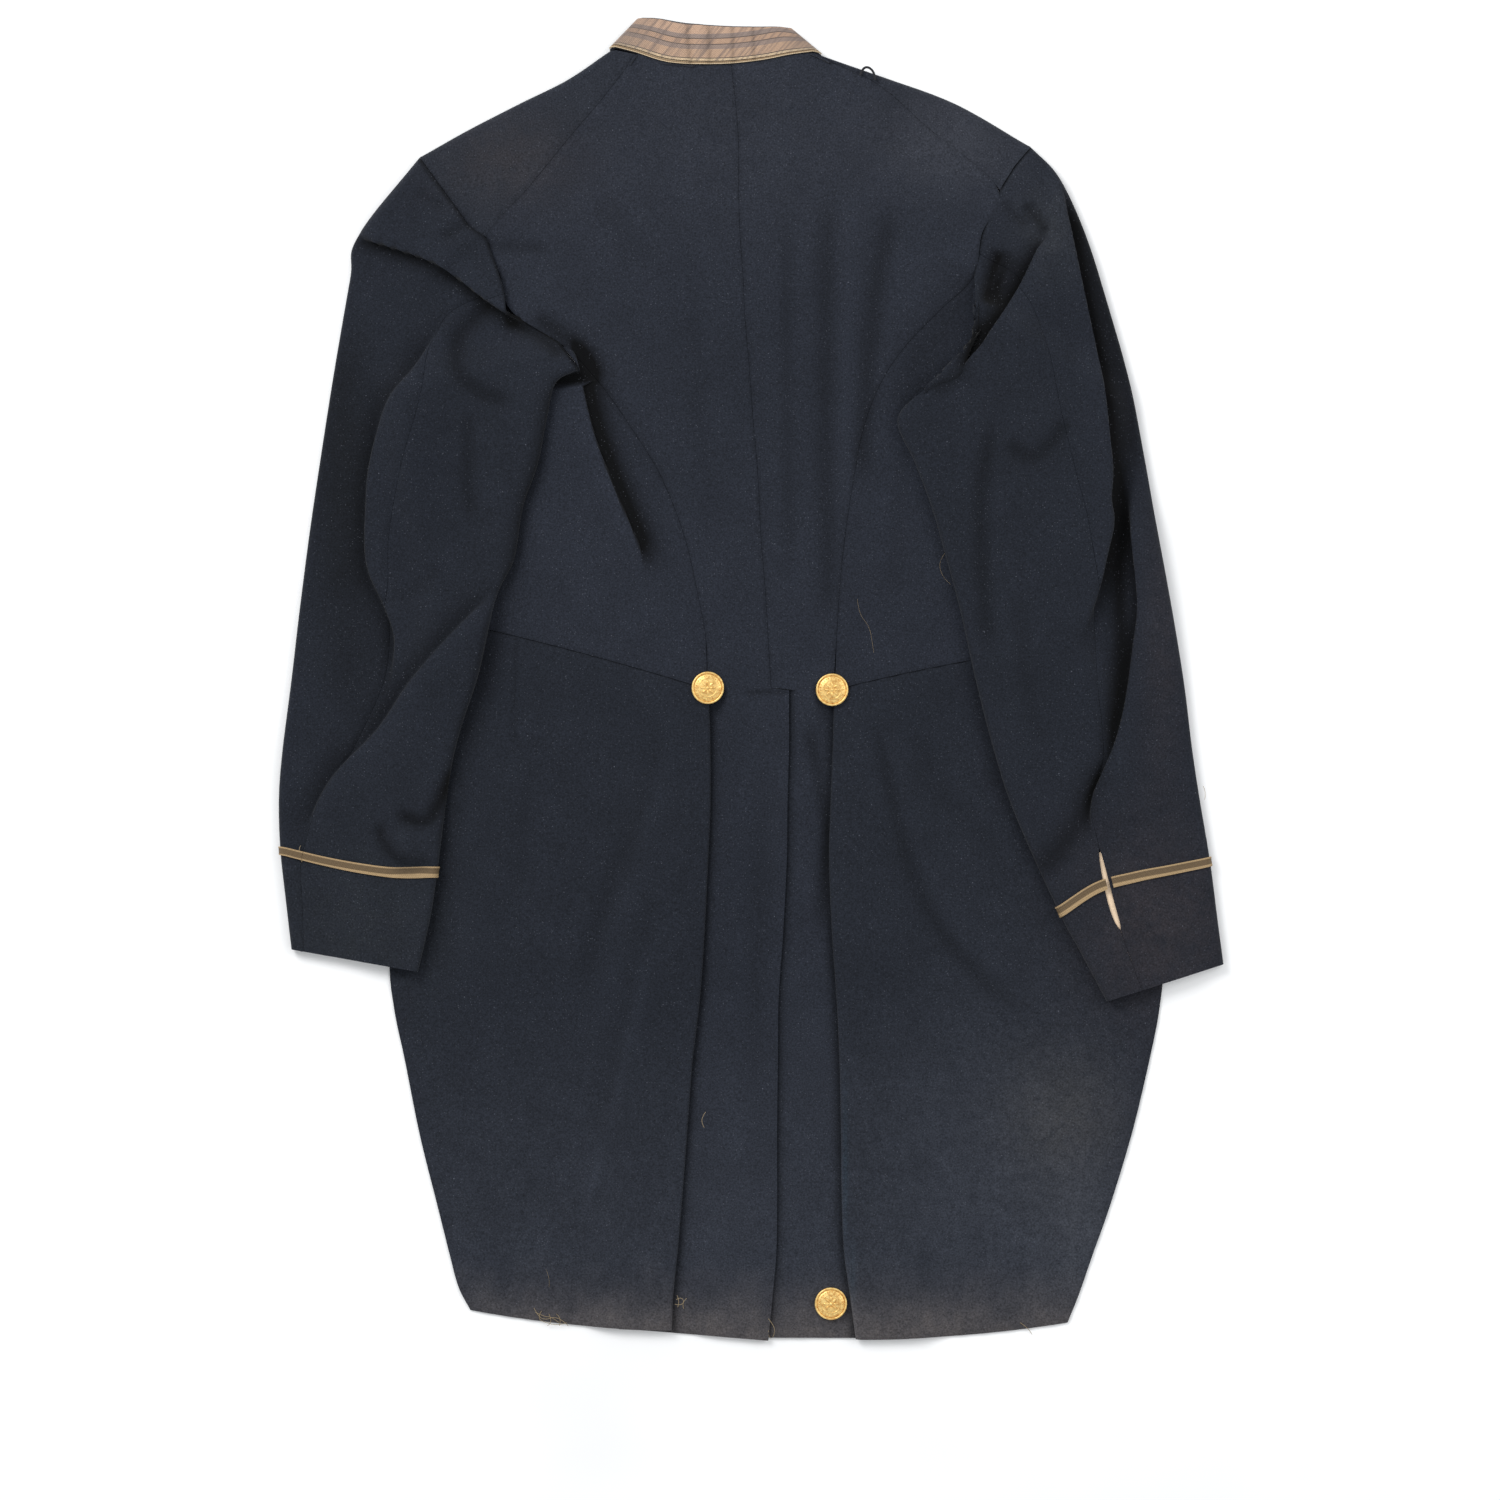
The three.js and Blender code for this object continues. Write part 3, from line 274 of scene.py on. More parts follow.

# %% [markdown]
# ## Folds, placed one by one
# Cloth that lies flat creases in two ways. A lap is a fold that has tipped over: high and crisp on the left
# of its line's direction, with a dark hollow on the right. A ripple is softer, a ridge if its height is above
# zero and a valley if it is below. A simulation would put creases where it likes, so these are placed one
# by one. Depth says how much shade is painted into a hollow, and spread how wide that painted shade reaches.
# A ripple with depth below zero is painted paler, and one with height zero is painted shade and nothing else.

# %% Laps: height, rise, reach, lean, depth, spread, line
BODY_LAPS = [
    (3.2, 6, 26, 5, 1.25, 12, [
        (-68, 66), (-79, 96), (-90, 121), (-104, 157), (-111, 182), (-117, 210), (-124, 240)]),
]
LEFT_SLEEVE_LAPS = [
    (6, 8, 30, 5, 0.85, 7, [
        (-276, 302), (-262, 299), (-239, 292), (-214, 283), (-196, 272), (-178, 258), (-160, 246),
        (-144, 237)]),
    (5.5, 8, 34, 4, 0.5, 11, [
        (-198, 254), (-209, 236), (-224, 210), (-241, 189), (-249, 168), (-255, 143), (-257, 121),
        (-257, 79), (-245, 50), (-238, 29), (-240, 8), (-248, -20)]),
    (5, 9, 32, 4, 0.5, 12, [
        (-160, 68), (-172, 57), (-200, 29), (-228, -3), (-250, -35), (-278, -64), (-292, -88), (-303, -116)]),
]
RIGHT_SLEEVE_LAPS = [
    (6, 7, 24, 5, 0.85, 8, [
        (219, 20), (223, 29), (230, 50), (237, 82), (242, 105), (240, 121), (241, 140), (239, 160),
        (235, 196), (228, 232), (219, 274), (212, 310), (209, 334), (200, 352)]),
    (5, 7, 26, 5, 0.6, 5, [
        (254, 135), (256, 118), (260, 85), (263, 50), (260, 22), (255, -14), (248, -42), (239, -64),
        (232, -81), (230, -99), (236, -114)]),
    (5, 7, 28, 6, 0.85, 8, [
        (203, 304), (195, 286), (186, 267), (178, 253), (166, 235), (154, 218), (136, 204)]),
]

# %% Ripples: height, width, depth, line
BODY_RIPPLES = [
    (-1.8, 7, 0.34, [(52, 345), (51, 200), (53, 20)]),
    (-2, 7, 0.4, [(97, 325), (84, 256), (78, 180), (74, 120)]),
    (1.5, 8, -0.08, [(70, 330), (66, 240), (66, 110)]),
    (-0.9, 5, 0.2, [(24, 330), (25, 200), (27, 60)]),
    (-1.2, 5, 0.3, [(-186, 293), (-160, 291), (-132, 290)]),
    (-0.9, 10, 0.12, [(-106, 324), (-84, 300), (-64, 278)]),
    (1.5, 30, 0, [(-215, 345), (-150, 372), (-95, 400)]),
    (1.5, 30, 0, [(178, 352), (130, 375), (70, 400)]),
    (-0.7, 7, 0.1, [(-40, 300), (-36, 210), (-30, 120)]),
    (0.8, 12, -0.05, [(-128, 200), (-140, 130), (-150, 70)]),
    (-1.7, 7, 0.6, [(-150, 246), (-130, 234), (-112, 216), (-98, 198)]),
    (-0.8, 6, 0.12, [(-104, 206), (-84, 178), (-66, 146), (-56, 120)]),
    (-1.5, 16, 0.32, [(158, 284), (138, 250), (116, 212), (102, 170)]),
    # Painted shadow that the left sleeve casts on the body beside its edge.
    (-0.6, 10, 0.3, [(-138, 180), (-160, 90), (-172, 30), (-178, 0)]),
    (-0.8, 7, 0.12, [(106, 160), (100, 110), (94, 50)]),
]
SKIRT_RIPPLES = [
    (0.8, 4, -0.22, [(-66, -180), (-72.5, -210), (-83, -252), (-94, -295), (-106, -338), (-115, -373)]),
    (2.4, 12, -0.08, [(-48, -20), (-66, -90), (-84, -170), (-104, -262)]),
    (-1.6, 7, 0.2, [(-56, -24), (-78, -99), (-98, -150), (-114, -214)]),
    (-0.5, 2, 0.22, [(-157, 36), (-159, 0), (-160, -46)]),
    (-2, 5, 0.3, [(82, -20), (95, -78), (106, -120), (124, -163), (159, -206), (196, -228)]),
    (2.2, 11, -0.08, [(98, -36), (116, -110), (140, -165), (182, -214)]),
    (-1.2, 8, 0.16, [(110, -34), (136, -84), (170, -122)]),
    (1.6, 14, -0.05, [(-190, -20), (-196, -120), (-186, -230)]),
    (1.4, 16, -0.05, [(110, -240), (124, -320), (128, -400)]),
    (-0.8, 8, 0.12, [(-64, -130), (-92, -250), (-100, -330)]),
    # The next two are painted shadow that each sleeve casts on the skirt beside its inner edge.
    (-0.6, 11, 0.4, [(-168, 60), (-180, 0), (-192, -40), (-202, -80), (-210, -140), (-222, -214)]),
    (-0.4, 8, 0.2, [(148, 30), (162, -40), (184, -100), (214, -160)]),
    (-0.7, 7, 0.1, [(-150, -60), (-158, -150)]),
]
TAIL_RIPPLES = [
    (-0.4, 2.2, 0.4, [(-6, -9), (8, -8.6), (27, -8.2)]),
    (-1.2, 5, 0.35, [(37, -20), (50, -92), (49, -130), (47, -176)]),
    (0.5, 8, -0.06, [(-4, -30), (-6, -200), (-14, -380)]),
    (-0.5, 7, 0.12, [(10, -60), (6, -180), (0, -300)]),
]
# Ripples of height zero are painted shade only, on the sleeve's low outer strip and its rolled inner edge.
LEFT_SLEEVE_RIPPLES = [
    (5, 32, 0, [(-262, 322), (-232, 322), (-190, 280)]),
    (-3, 5, 0.6, [(-170, 241), (-153, 237), (-137, 228), (-125, 214)]),
    (-3, 6, 0.45, [(-170, 256), (-193, 235), (-198, 218), (-194, 203), (-178, 191), (-154, 186)]),
    (-2, 5, 0.35, [(-189, 182), (-190, 150), (-188, 106)]),
    (0, 20, 0.3, [(-262, 250), (-276, 180), (-280, 120), (-276, 60), (-268, 0), (-268, -50)]),
    (-3.2, 4.5, 0.75, [(-198, -56), (-211, -85), (-220, -96), (-242, -90)]),
    (2.4, 7, -0.12, [(-237, -102), (-228, -118)]),
    (-2.2, 4, 0.5, [(-252, -94), (-246, -112), (-232, -124), (-212, -122)]),
    (0, 7, 0.5, [(-129, 212), (-137, 175), (-143, 145), (-153, 116), (-159, 81), (-171, 50)]),
    (0, 5, 0.3, [(-169, 62), (-183, 5), (-195, -33), (-203, -68), (-211, -134)]),
    (-1.6, 4, 0.35, [(-209, 296), (-199, 302), (-190, 308)]),
    (-1.2, 4, 0.25, [(-224, 331), (-214, 322), (-204, 317)]),
    (-1, 6, 0.15, [(-250, 52), (-226, 60), (-206, 78)]),
]
# Ripples of height zero are painted shade only, in the sleeve's hollows and over an edge that catches the
# light.
RIGHT_SLEEVE_RIPPLES = [
    (0, 6, 0.45, [(154, 246), (147, 214), (134, 201), (116, 193)]),
    (0, 13, 0.6, [(216, 338), (232, 290), (246, 230), (254, 170), (254, 126)]),
    (-3, 7, 0.85, [(251, 156), (249, 114), (249, 81), (249, 50), (250, 20), (245, -27), (239, -62)]),
    (-2.6, 9, 0.55, [(241, -54), (228, -84), (218, -102), (204, -120), (188, -136)]),
    (-3.5, 6, 0.95, [(170, 291), (164, 270), (160, 250)]),
    (0, 12, 0.4, [(180, 292), (170, 266), (158, 238), (150, 216)]),
    (1.6, 2.5, -0.35, [(172, 288), (161, 260)]),
    (-2.2, 4, 0.5, [(184, 322), (193, 310), (200, 299)]),
    (-1.2, 3.5, 0.3, [(170, 324), (178, 312), (188, 305)]),
    (-2, 6, 0.4, [(165, 184), (159, 150), (155, 115), (157, 60), (161, 10)]),
    (-2, 5.5, 0.4, [(170, 162), (182, 152), (192, 150), (204, 160), (214, 176)]),
    (-1, 6, 0.15, [(180, 60), (186, 0), (196, -50)]),
]
NO_LAPS = []
print("laps:", len(BODY_LAPS + LEFT_SLEEVE_LAPS + RIGHT_SLEEVE_LAPS))

# %% [markdown]
# ## From measurements to places
# Two small tools do most of the drafting: one draws a smooth curve through a table's rows, and the other
# finds the nearest place on a fold's line. Both work on whole arrays of places at once, because a panel
# has thousands of points.

# %% Curves through the measurements
def column(values, at):
    """A column of a table at fractional rows, on a smooth curve through its rows."""
    at = np.asarray(at, float)
    i = np.clip(np.floor(at).astype(int), 0, len(values) - 2)
    t = at - i
    longer = np.concatenate([[2 * values[0] - values[1]], values, [2 * values[-1] - values[-2]]])
    before, here, after, beyond = (longer[i + k] for k in range(4))
    slope, next_slope, rise = (after - before) / 2, (beyond - here) / 2, after - here
    square = 3 * rise - 2 * slope - next_slope
    cube = slope + next_slope - 2 * rise
    return here + t * (slope + t * (square + t * cube))


def place(rows, x, y, at):
    return np.stack([column(rows[x], at), column(rows[y], at)], axis=-1)


def unit(v):
    return v / np.maximum(np.linalg.norm(v, axis=-1, keepdims=True), 1e-9)


def smooth(t):
    t = np.clip(t, 0, 1)
    return t * t * (3 - 2 * t)


def row_where(values, value):
    """Fractional row at which a column that only rises or only falls reaches a value."""
    rows = np.arange(len(values))
    if values[0] > values[-1]:
        values, rows = values[::-1], rows[::-1]
    return np.interp(value, values, rows)


def beside(rows, x, y, at, gap):
    """A place beside a line of a table, to its left as the rows run."""
    way = unit(place(rows, x, y, at + 0.1) - place(rows, x, y, at - 0.1))
    return place(rows, x, y, at) + gap * np.array([-way[1], way[0]])


# %% Height, lean and shade of the folds
# A lap paints shade into its hollow, darkest at its foot, and a small painted highlight, GLEAM, just past its
# crest.
CRISP, LEAN_REACH = 0.7, 7
FOOT, FOOT_WIDTH = 0.3, 0.65
GLEAM, GLEAM_AT, GLEAM_WIDTH = 0.12, 5, 5


def traced(line):
    """A fold's line as a smooth curve through its points."""
    points = np.array(line, float)
    at = np.linspace(0, len(points) - 1, 4 * (len(points) - 1) + 1)
    return np.stack([column(points[:, 0], at), column(points[:, 1], at)], axis=-1)


def folds(laps, ripples):
    """A stretch of cloth's laps and ripples, their lines made smooth."""
    return [[(*fold, traced(line)) for *fold, line in kind] for kind in (laps, ripples)]


BODY_FOLDS = folds(BODY_LAPS, BODY_RIPPLES)
SKIRT_FOLDS = folds(NO_LAPS, SKIRT_RIPPLES)
TAIL_FOLDS = folds(NO_LAPS, TAIL_RIPPLES)
LEFT["folds"] = folds(LEFT_SLEEVE_LAPS, LEFT_SLEEVE_RIPPLES)
RIGHT["folds"] = folds(RIGHT_SLEEVE_LAPS, RIGHT_SLEEVE_RIPPLES)


def nearest_on(line, x, y):
    """Signed distance to a line, positive on its left, the way to its left, and the share travelled."""
    x, y = np.asarray(x, float)[..., None], np.asarray(y, float)[..., None]
    run = np.diff(line, axis=0)
    lengths = np.linalg.norm(run, axis=1)
    dx, dy = (run / lengths[:, None]).T
    travelled = np.clip((x - line[:-1, 0]) * dx + (y - line[:-1, 1]) * dy, 0, lengths)
    ox, oy = x - line[:-1, 0] - travelled * dx, y - line[:-1, 1] - travelled * dy
    distance = np.hypot(ox, oy)
    nearest = distance.argmin(axis=-1)

    def pick(values):
        spread_out = np.broadcast_to(values, distance.shape)
        return np.take_along_axis(spread_out, nearest[..., None], axis=-1)[..., 0]

    signed = pick(np.where(dx * oy - dy * ox >= 0, distance, -distance))
    before = np.concatenate([[0], np.cumsum(lengths)])
    left = np.stack([-dy[nearest], dx[nearest]], axis=-1)
    return signed, left, (pick(travelled) + before[nearest]) / before[-1]


def ends_faded(part):
    """Strength of a fold along its line, which fades over a sixth of it at each end."""
    return smooth(6 * np.minimum(part, 1 - part))


def relief(folds, x, y):
    """What folds do to places: how much higher, how far sideways, and how much painted shade or highlight
    they get.
    """
    laps, ripples = folds
    height, shade, shift = np.zeros(np.shape(x)), np.zeros(np.shape(x)), np.zeros(np.shape(x) + (2,))
    for tall, width, reach, lean, depth, spread, line in laps:
        signed, left, part = nearest_on(line, x, y)
        fade = ends_faded(part)
        past = np.maximum(signed, 0)
        rise = smooth(signed / (CRISP * width) + 0.5)
        height += tall * fade * rise * np.exp(-((past / reach) ** 2))
        shift -= left * (lean * fade * rise * np.exp(-((past / LEAN_REACH) ** 2)))[..., None]
        foot = signed + FOOT * width
        hollow = np.where(foot < 0, np.exp(-((foot / spread) ** 2)), 1 - smooth(foot / (FOOT_WIDTH * width)))
        shade += fade * (depth * hollow - GLEAM * np.exp(-(((signed - GLEAM_AT) / GLEAM_WIDTH) ** 2)))
    for tall, width, depth, line in ripples:
        signed, _, part = nearest_on(line, x, y)
        bump = ends_faded(part) * np.exp(-((signed / width) ** 2))
        height += tall * bump
        shade += depth * bump
    return height, shift, shade


# %% [markdown]
# ## How high the cloth lies
# The torso is a flattened bag a few millimetres high. Below the waist only one layer is left, and three
# where the skirt is folded under as a pleat. A sleeve lies on top of the coat and sinks to the surface past
# its edge. These heights are functions of a place, so neighbouring panels meet at the same level.

# %% Heights of the layers
def side_of(x):
    return LEFT if x < CENTRE else RIGHT


def by_side(function):
    """Makes a function of a side and of places into one that picks the side for each place."""
    return lambda x, y: np.where(x < CENTRE, function(LEFT, x, y), function(RIGHT, x, y))


@by_side
def waist_y(side, x, y):
    skirt = side["skirt"]
    part = np.clip((x - skirt["pleatX"][0]) / (skirt["edgeX"][0] - skirt["pleatX"][0]), 0, 1)
    bow = 4 * skirt["bow"][0] * part * (1 - part)
    return skirt["pleatY"][0] + part * (skirt["edgeY"][0] - skirt["pleatY"][0]) + bow


@by_side
def from_pleat(side, x, y):
    return side["sign"] * (x - column(TAILS[side["pleat"]], row_where(TAILS["y"], y)))


def torso_top(x, y):
    return BODY + relief(BODY_FOLDS, x, y)[0]


def skirt_top(x, y):
    pleated = smooth(1 - (np.abs(from_pleat(x, y)) - PLEAT - PLEAT_FLAT) / PLEAT_SLOPE)
    kept = 1 - smooth(np.maximum(waist_y(x, y) - y, 0) / WAIST_FALL)
    low = CLOTH + pleated * (THREE_LAYERS - CLOTH) + relief(SKIRT_FOLDS, x, y)[0]
    return low + kept * (torso_top(x, y) - low)


def coat_top(x, y):
    return np.where(y > waist_y(x, y), torso_top(x, y), skirt_top(x, y))


def tail_top(laps):
    def height(x, y):
        vent = column(TAILS["vent"], row_where(TAILS["y"], y))
        lapped = smooth((x - vent + VENT_LAP + VENT_FLAT + VENT_SLOPE) / VENT_SLOPE) if laps else 0
        wave = 0.4 * np.sin(y / 37 + x / 19) * smooth((-30 - y) / 60)
        low = CLOTH + lapped * (CLOTH + LAYER) + wave
        under = 0 if laps else (CLOTH + 2 * LAYER) * smooth((vent + VENT_STEP - x) / VENT_STEP)
        risen = smooth((-from_pleat(x, y) - TAIL_HIDDEN) / TAIL_RISE)
        high = CLOTH + LAYER + risen * (BODY - under - CLOTH - LAYER)
        sunk = smooth((TAILS["y"][0] - y) / WAIST_FALL)
        return np.maximum(high, low) * (1 - sunk) + low * sunk
    return height


def side_x(side, y):
    return column(side["side"]["x"], row_where(side["side"]["y"], y))


def waist_corner(side):
    """Where a side panel's underarm seam meets the waist seam."""
    x = np.array(side["side"]["x"][-1] - side["sign"] * UNDERARM)
    return np.array([x, waist_y(x, 0.0) + SEAM])


def outline_x(side, y):
    torso = side_x(side, y)
    skirt = column(side["skirt"]["edgeX"], row_where(side["skirt"]["edgeY"], y))
    return np.where(y > side["side"]["y"][-1], torso, skirt)


def armhole_bottom(side, x):
    foot_x, foot_y, slope = side["armhole_foot"]
    return foot_y + slope * (x - foot_x)


def support(side, x, y):
    """Height of what a sleeve lies on."""
    edge = outline_x(side, y)
    inside = side["sign"] * (edge - x)
    below = ARMHOLE_TILT * (armhole_bottom(side, x) - y)
    cover = smooth(1 + (inside + HELD) / FALL) * smooth(1 + (below + HELD) / FALL)
    nearest = side["sign"] * np.minimum(side["sign"] * x, side["sign"] * edge)
    return cover * (coat_top(nearest, y) + CLEAR)


def sleeve_top(side):
    return lambda x, y: support(side, x, y) + SLEEVE + relief(side["folds"], x, y)[0]


sample = np.array([0.0])
print("height on the back:", torso_top(sample, sample + 200)[0].round(2), "mm")
print("height on a skirt:", skirt_top(sample - 150, sample - 300)[0].round(2), "mm")

# %% [markdown]
# ## Sections across a panel
# A panel is a stack of sections. An open section runs flat from seam to seam. A folded one comes from a seam
# over the top, turns round an edge in a half circle, and goes back underneath, as a sleeve does at its side.

# %% Open and folded sections
ARC = 8


def flat_section(start, end, count, gaps=(SEAM / 2, SEAM / 2), bow=0.0):
    along = unit(end - start)
    start, end = start + along * gaps[0], end - along * gaps[1]
    t = np.linspace(0, 1, count + 1)[:, None]
    places = start + (end - start) * t
    places[:, 1] += 4 * bow * (t * (1 - t))[:, 0]
    return places


def raised(places, height):
    """Places on a panel, each with its height."""
    return np.concatenate([places, height(places[..., 0], places[..., 1])[..., None]], axis=-1)


def folded_section(over, under, over_from, under_to, top, bottom, counts):
    """From a section's upper end to its fold, round it and back underneath."""
    fold = over(np.array([0.0]))
    half = ((top(*fold.T) - bottom(*fold.T)) / 2)[0]
    centre, centre_under = over(np.array([half]))[0], under(np.array([half]))[0]
    outward = unit(fold[0] - centre)
    high, low = top(*centre[:, None])[0], bottom(*centre_under[:, None])[0]
    first = raised(over(np.linspace(over_from, half, counts[0] + 1)[:-1]), top)
    part = np.linspace(0, 1, 2 * ARC + 1)[:, None]
    base = centre + (centre_under - centre) * part + half * outward * np.sin(np.pi * part)
    turned = np.concatenate([base, (high + low) / 2 + np.cos(np.pi * part) * (high - low) / 2], axis=1)
    last = raised(under(np.linspace(half, under_to, counts[1] + 1)[1:]), bottom)
    return np.concatenate([first, turned, last])


def straight(start, end, bow=0.0):
    """A straight way from one place towards another, by distance, bowed along the coat."""
    length = np.linalg.norm(end - start)

    def way(distance):
        t = np.asarray(distance)[:, None] / length
        places = start + (end - start) * t
        places[:, 1] += 4 * bow * (t * (1 - t))[:, 0]
        return places
    return way


def floor(x, y):
    return np.zeros(np.shape(x))


def steps(rows, spacing, first=0.0):
    """Fractional rows of a table that lie about a spacing apart, from the usual distance of its rows."""
    last = len(next(iter(rows.values()))) - 1
    return np.linspace(first, last, round((last - first) * ROW_SPACING / spacing) + 1)


# %% [markdown]
# ## From sections to cloth
# Each panel starts as one of Blender's grids, with a point for every point of its sections. The points are
# moved to their places, and Solidify gives the sheet its thickness. The seam edges are pressed down a little,
# as an iron leaves them. Two attributes go along for the material: shade, which is painted shade in the
# hollows and along the sewn edges and a painted highlight where it is below zero, and the UV map, which holds
# real distances along and across the cloth, in metres.

# %% The cloth maker
FINE = 2.3
UPPER_SHARE = 0.6
PUCKER, PUCKER_LENGTH = 0.25, 2.4
cloth = {}


def only(obj):
    bpy.ops.object.select_all(action="DESELECT")
    obj.select_set(True)
    bpy.context.view_layer.objects.active = obj


def distances(grid):
    """Distance of each point from the start of its row and of its column."""
    across = np.linalg.norm(np.diff(grid, axis=1), axis=2).cumsum(axis=1)
    along = np.linalg.norm(np.diff(grid, axis=0), axis=2).cumsum(axis=0)
    across = np.pad(across, ((0, 0), (1, 0)))
    along = np.pad(along, ((1, 0), (0, 0)))
    return across, along


def from_edges(grid):
    """Distance of each point from the start and end of its row, and from the first and last row."""
    across, along = distances(grid)
    return {"start": across, "end": across[:, -1:] - across, "first": along, "last": along[-1:] - along}


def seam_shaded(shade, grid, edges, depth=0.3, width=1.5):
    """Darkens a panel along the edges that are sewn, as painted shade in the pressed seam and on its cut rim.
    """
    ways = from_edges(grid)
    return shade + sum(depth * np.exp(-((ways[edge] / width) ** 2)) for edge in edges.split())


def pressed(grid, edges, depth=0.9, width=1.9):
    """Lowers a panel towards the edges that are sewn."""
    ways = from_edges(grid)
    for edge in edges.split():
        along_seam = ways["start" if edge in ("first", "last") else "first"]
        pucker = 1 + PUCKER * np.sin(along_seam / PUCKER_LENGTH)
        grid[..., 2] -= depth * pucker * np.exp(-((ways[edge] / width) ** 2))
    return grid


def add_sheet(name, grid, shade=None, thickness=CLOTH):
    """Makes a grid of points, in millimetres and with its upper side up, into cloth of a thickness."""
    rows, columns = grid.shape[:2]
    bpy.ops.mesh.primitive_grid_add(x_subdivisions=columns - 1, y_subdivisions=rows - 1, calc_uvs=True)
    sheet = bpy.context.object
    sheet.name = sheet.data.name = name
    sheet.data.vertices.foreach_set("co", (grid * MM).astype(np.float32).ravel())
    across, along = distances(grid)
    corners = np.zeros(len(sheet.data.loops), int)
    sheet.data.loops.foreach_get("vertex_index", corners)
    uv = np.stack([across.ravel(), along.ravel()], axis=1)[corners] * MM
    sheet.data.uv_layers.active.data.foreach_set("uv", uv.astype(np.float32).ravel())
    layer = sheet.data.attributes.new("shade", "FLOAT", "POINT")
    darkness = np.zeros(rows * columns) if shade is None else shade.ravel()
    layer.data.foreach_set("value", darkness.astype(np.float32))
    sheet.data.update()
    middles = np.array([f.center.z for f in sheet.data.polygons])
    on_top = middles > np.quantile(middles, UPPER_SHARE)
    if np.array([f.normal.z for f in sheet.data.polygons])[on_top].sum() < 0:
        sheet.data.flip_normals()
    sheet["width"] = float(across[:, -1].max() * MM)
    sheet["length"] = float(along[-1].max() * MM)
    sheet["area"] = float(sum(f.area for f in sheet.data.polygons))
    return thickened(sheet, thickness)


def thickened(sheet, thickness):
    only(sheet)
    wall = sheet.modifiers.new("wall", "SOLIDIFY")
    wall.thickness = thickness * MM
    wall.offset = -1
    bpy.ops.object.modifier_apply(modifier="wall")
    bpy.ops.object.shade_smooth_by_angle(angle=math.radians(50))
    cloth[sheet.name] = sheet
    print(sheet.name, len(sheet.data.polygons), "faces,", rounded([sheet["width"], sheet["length"]]), "m")
    return sheet


# %% [markdown]
# ## The back
# Two panels meet at the centre seam and run without a waist seam into the centre tails. The left tail laps
# over the right one at the vent, and both reach under the skirts' pleats. The upper rows go from the curved
# side seam to the centre, and the lower ones from the pleat to the vent.

# %% Back panels with their tails
BODY_COLUMNS = 56


def neck_y(x):
    return column(NECK["seamY"], row_where(NECK["seamX"], x))


def back_panel(side):
    laps = side is LEFT
    body = []
    for at in steps(BACK, FINE + 0.5):
        seam = beside(BACK, *side["seam"], at, -side["sign"] * SEAM / 2)
        row = flat_section(seam, place(BACK, "centreX", "centreY", at), BODY_COLUMNS, (0, SEAM / 2))
        at_neck = max(1 - 2 * at, 0) ** 2
        row[1:, 1] += (neck_y(row[1:, 0]) - SEAM / 2 - row[1:, 1]) * at_neck
        body.append(row)
    body = np.array(body)
    height, _, shade = relief(BODY_FOLDS, body[..., 0], body[..., 1])
    body = pressed(np.dstack([body, BODY + height]), "start end first", 0.35)
    shade = seam_shaded(shade, body, "start end", 0.2)
    tail = []
    for at in steps(TAILS, FINE + 0.5):
        y = column(TAILS["y"], at)
        deep = smooth((TAILS["y"][0] - y) / PLEAT_START)
        hidden = column(TAILS[side["pleat"]], at) + side["sign"] * (deep * PLEAT - PLEAT_INSET)
        vent = column(TAILS["vent"], at) - (0 if laps else -SEAM + deep * (VENT_LAP + SEAM))
        hem = max(at - len(TAILS["y"]) + 2, 0)
        start = np.array([hidden, y + hem * side["hem_hidden"]])
        end = np.array([vent, y - side["hem_at_vent"] * hem])
        tail.append(flat_section(start, end, BODY_COLUMNS, (0, 0)))
    tail = raised(np.array(tail), tail_top(laps))
    lift, _, dark = relief(TAIL_FOLDS, tail[..., 0], tail[..., 1])
    tail[..., 2] += lift
    tail = pressed(tail, "last end" if laps else "last", 0.5, 1.4)
    # Painted shadow on the tails along the skirt's pleat edge above them, and on the right tail along the
    # vent under the left tail's edge.
    dark += 0.5 * np.exp(-((from_pleat(tail[..., 0], tail[..., 1]) / 4.5) ** 2))
    if not laps:
        vent = column(TAILS["vent"], row_where(TAILS["y"], tail[..., 1]))
        dark += 0.5 * np.exp(-(((tail[..., 0] - vent) / 4) ** 2))
    shade = np.concatenate([shade, dark])
    return add_sheet(f"back_{side['name']}_cloth", np.concatenate([body, tail]), shade)


for side in (LEFT, RIGHT):
    back_panel(side)

# %% [markdown]
# ## The side panels
# A narrow panel goes from the curved back seam round to the underarm, and rises a little beside the armhole,
# higher on the right than on the left. It follows the torso's height, so the curved seam between it and the
# back closes by itself.

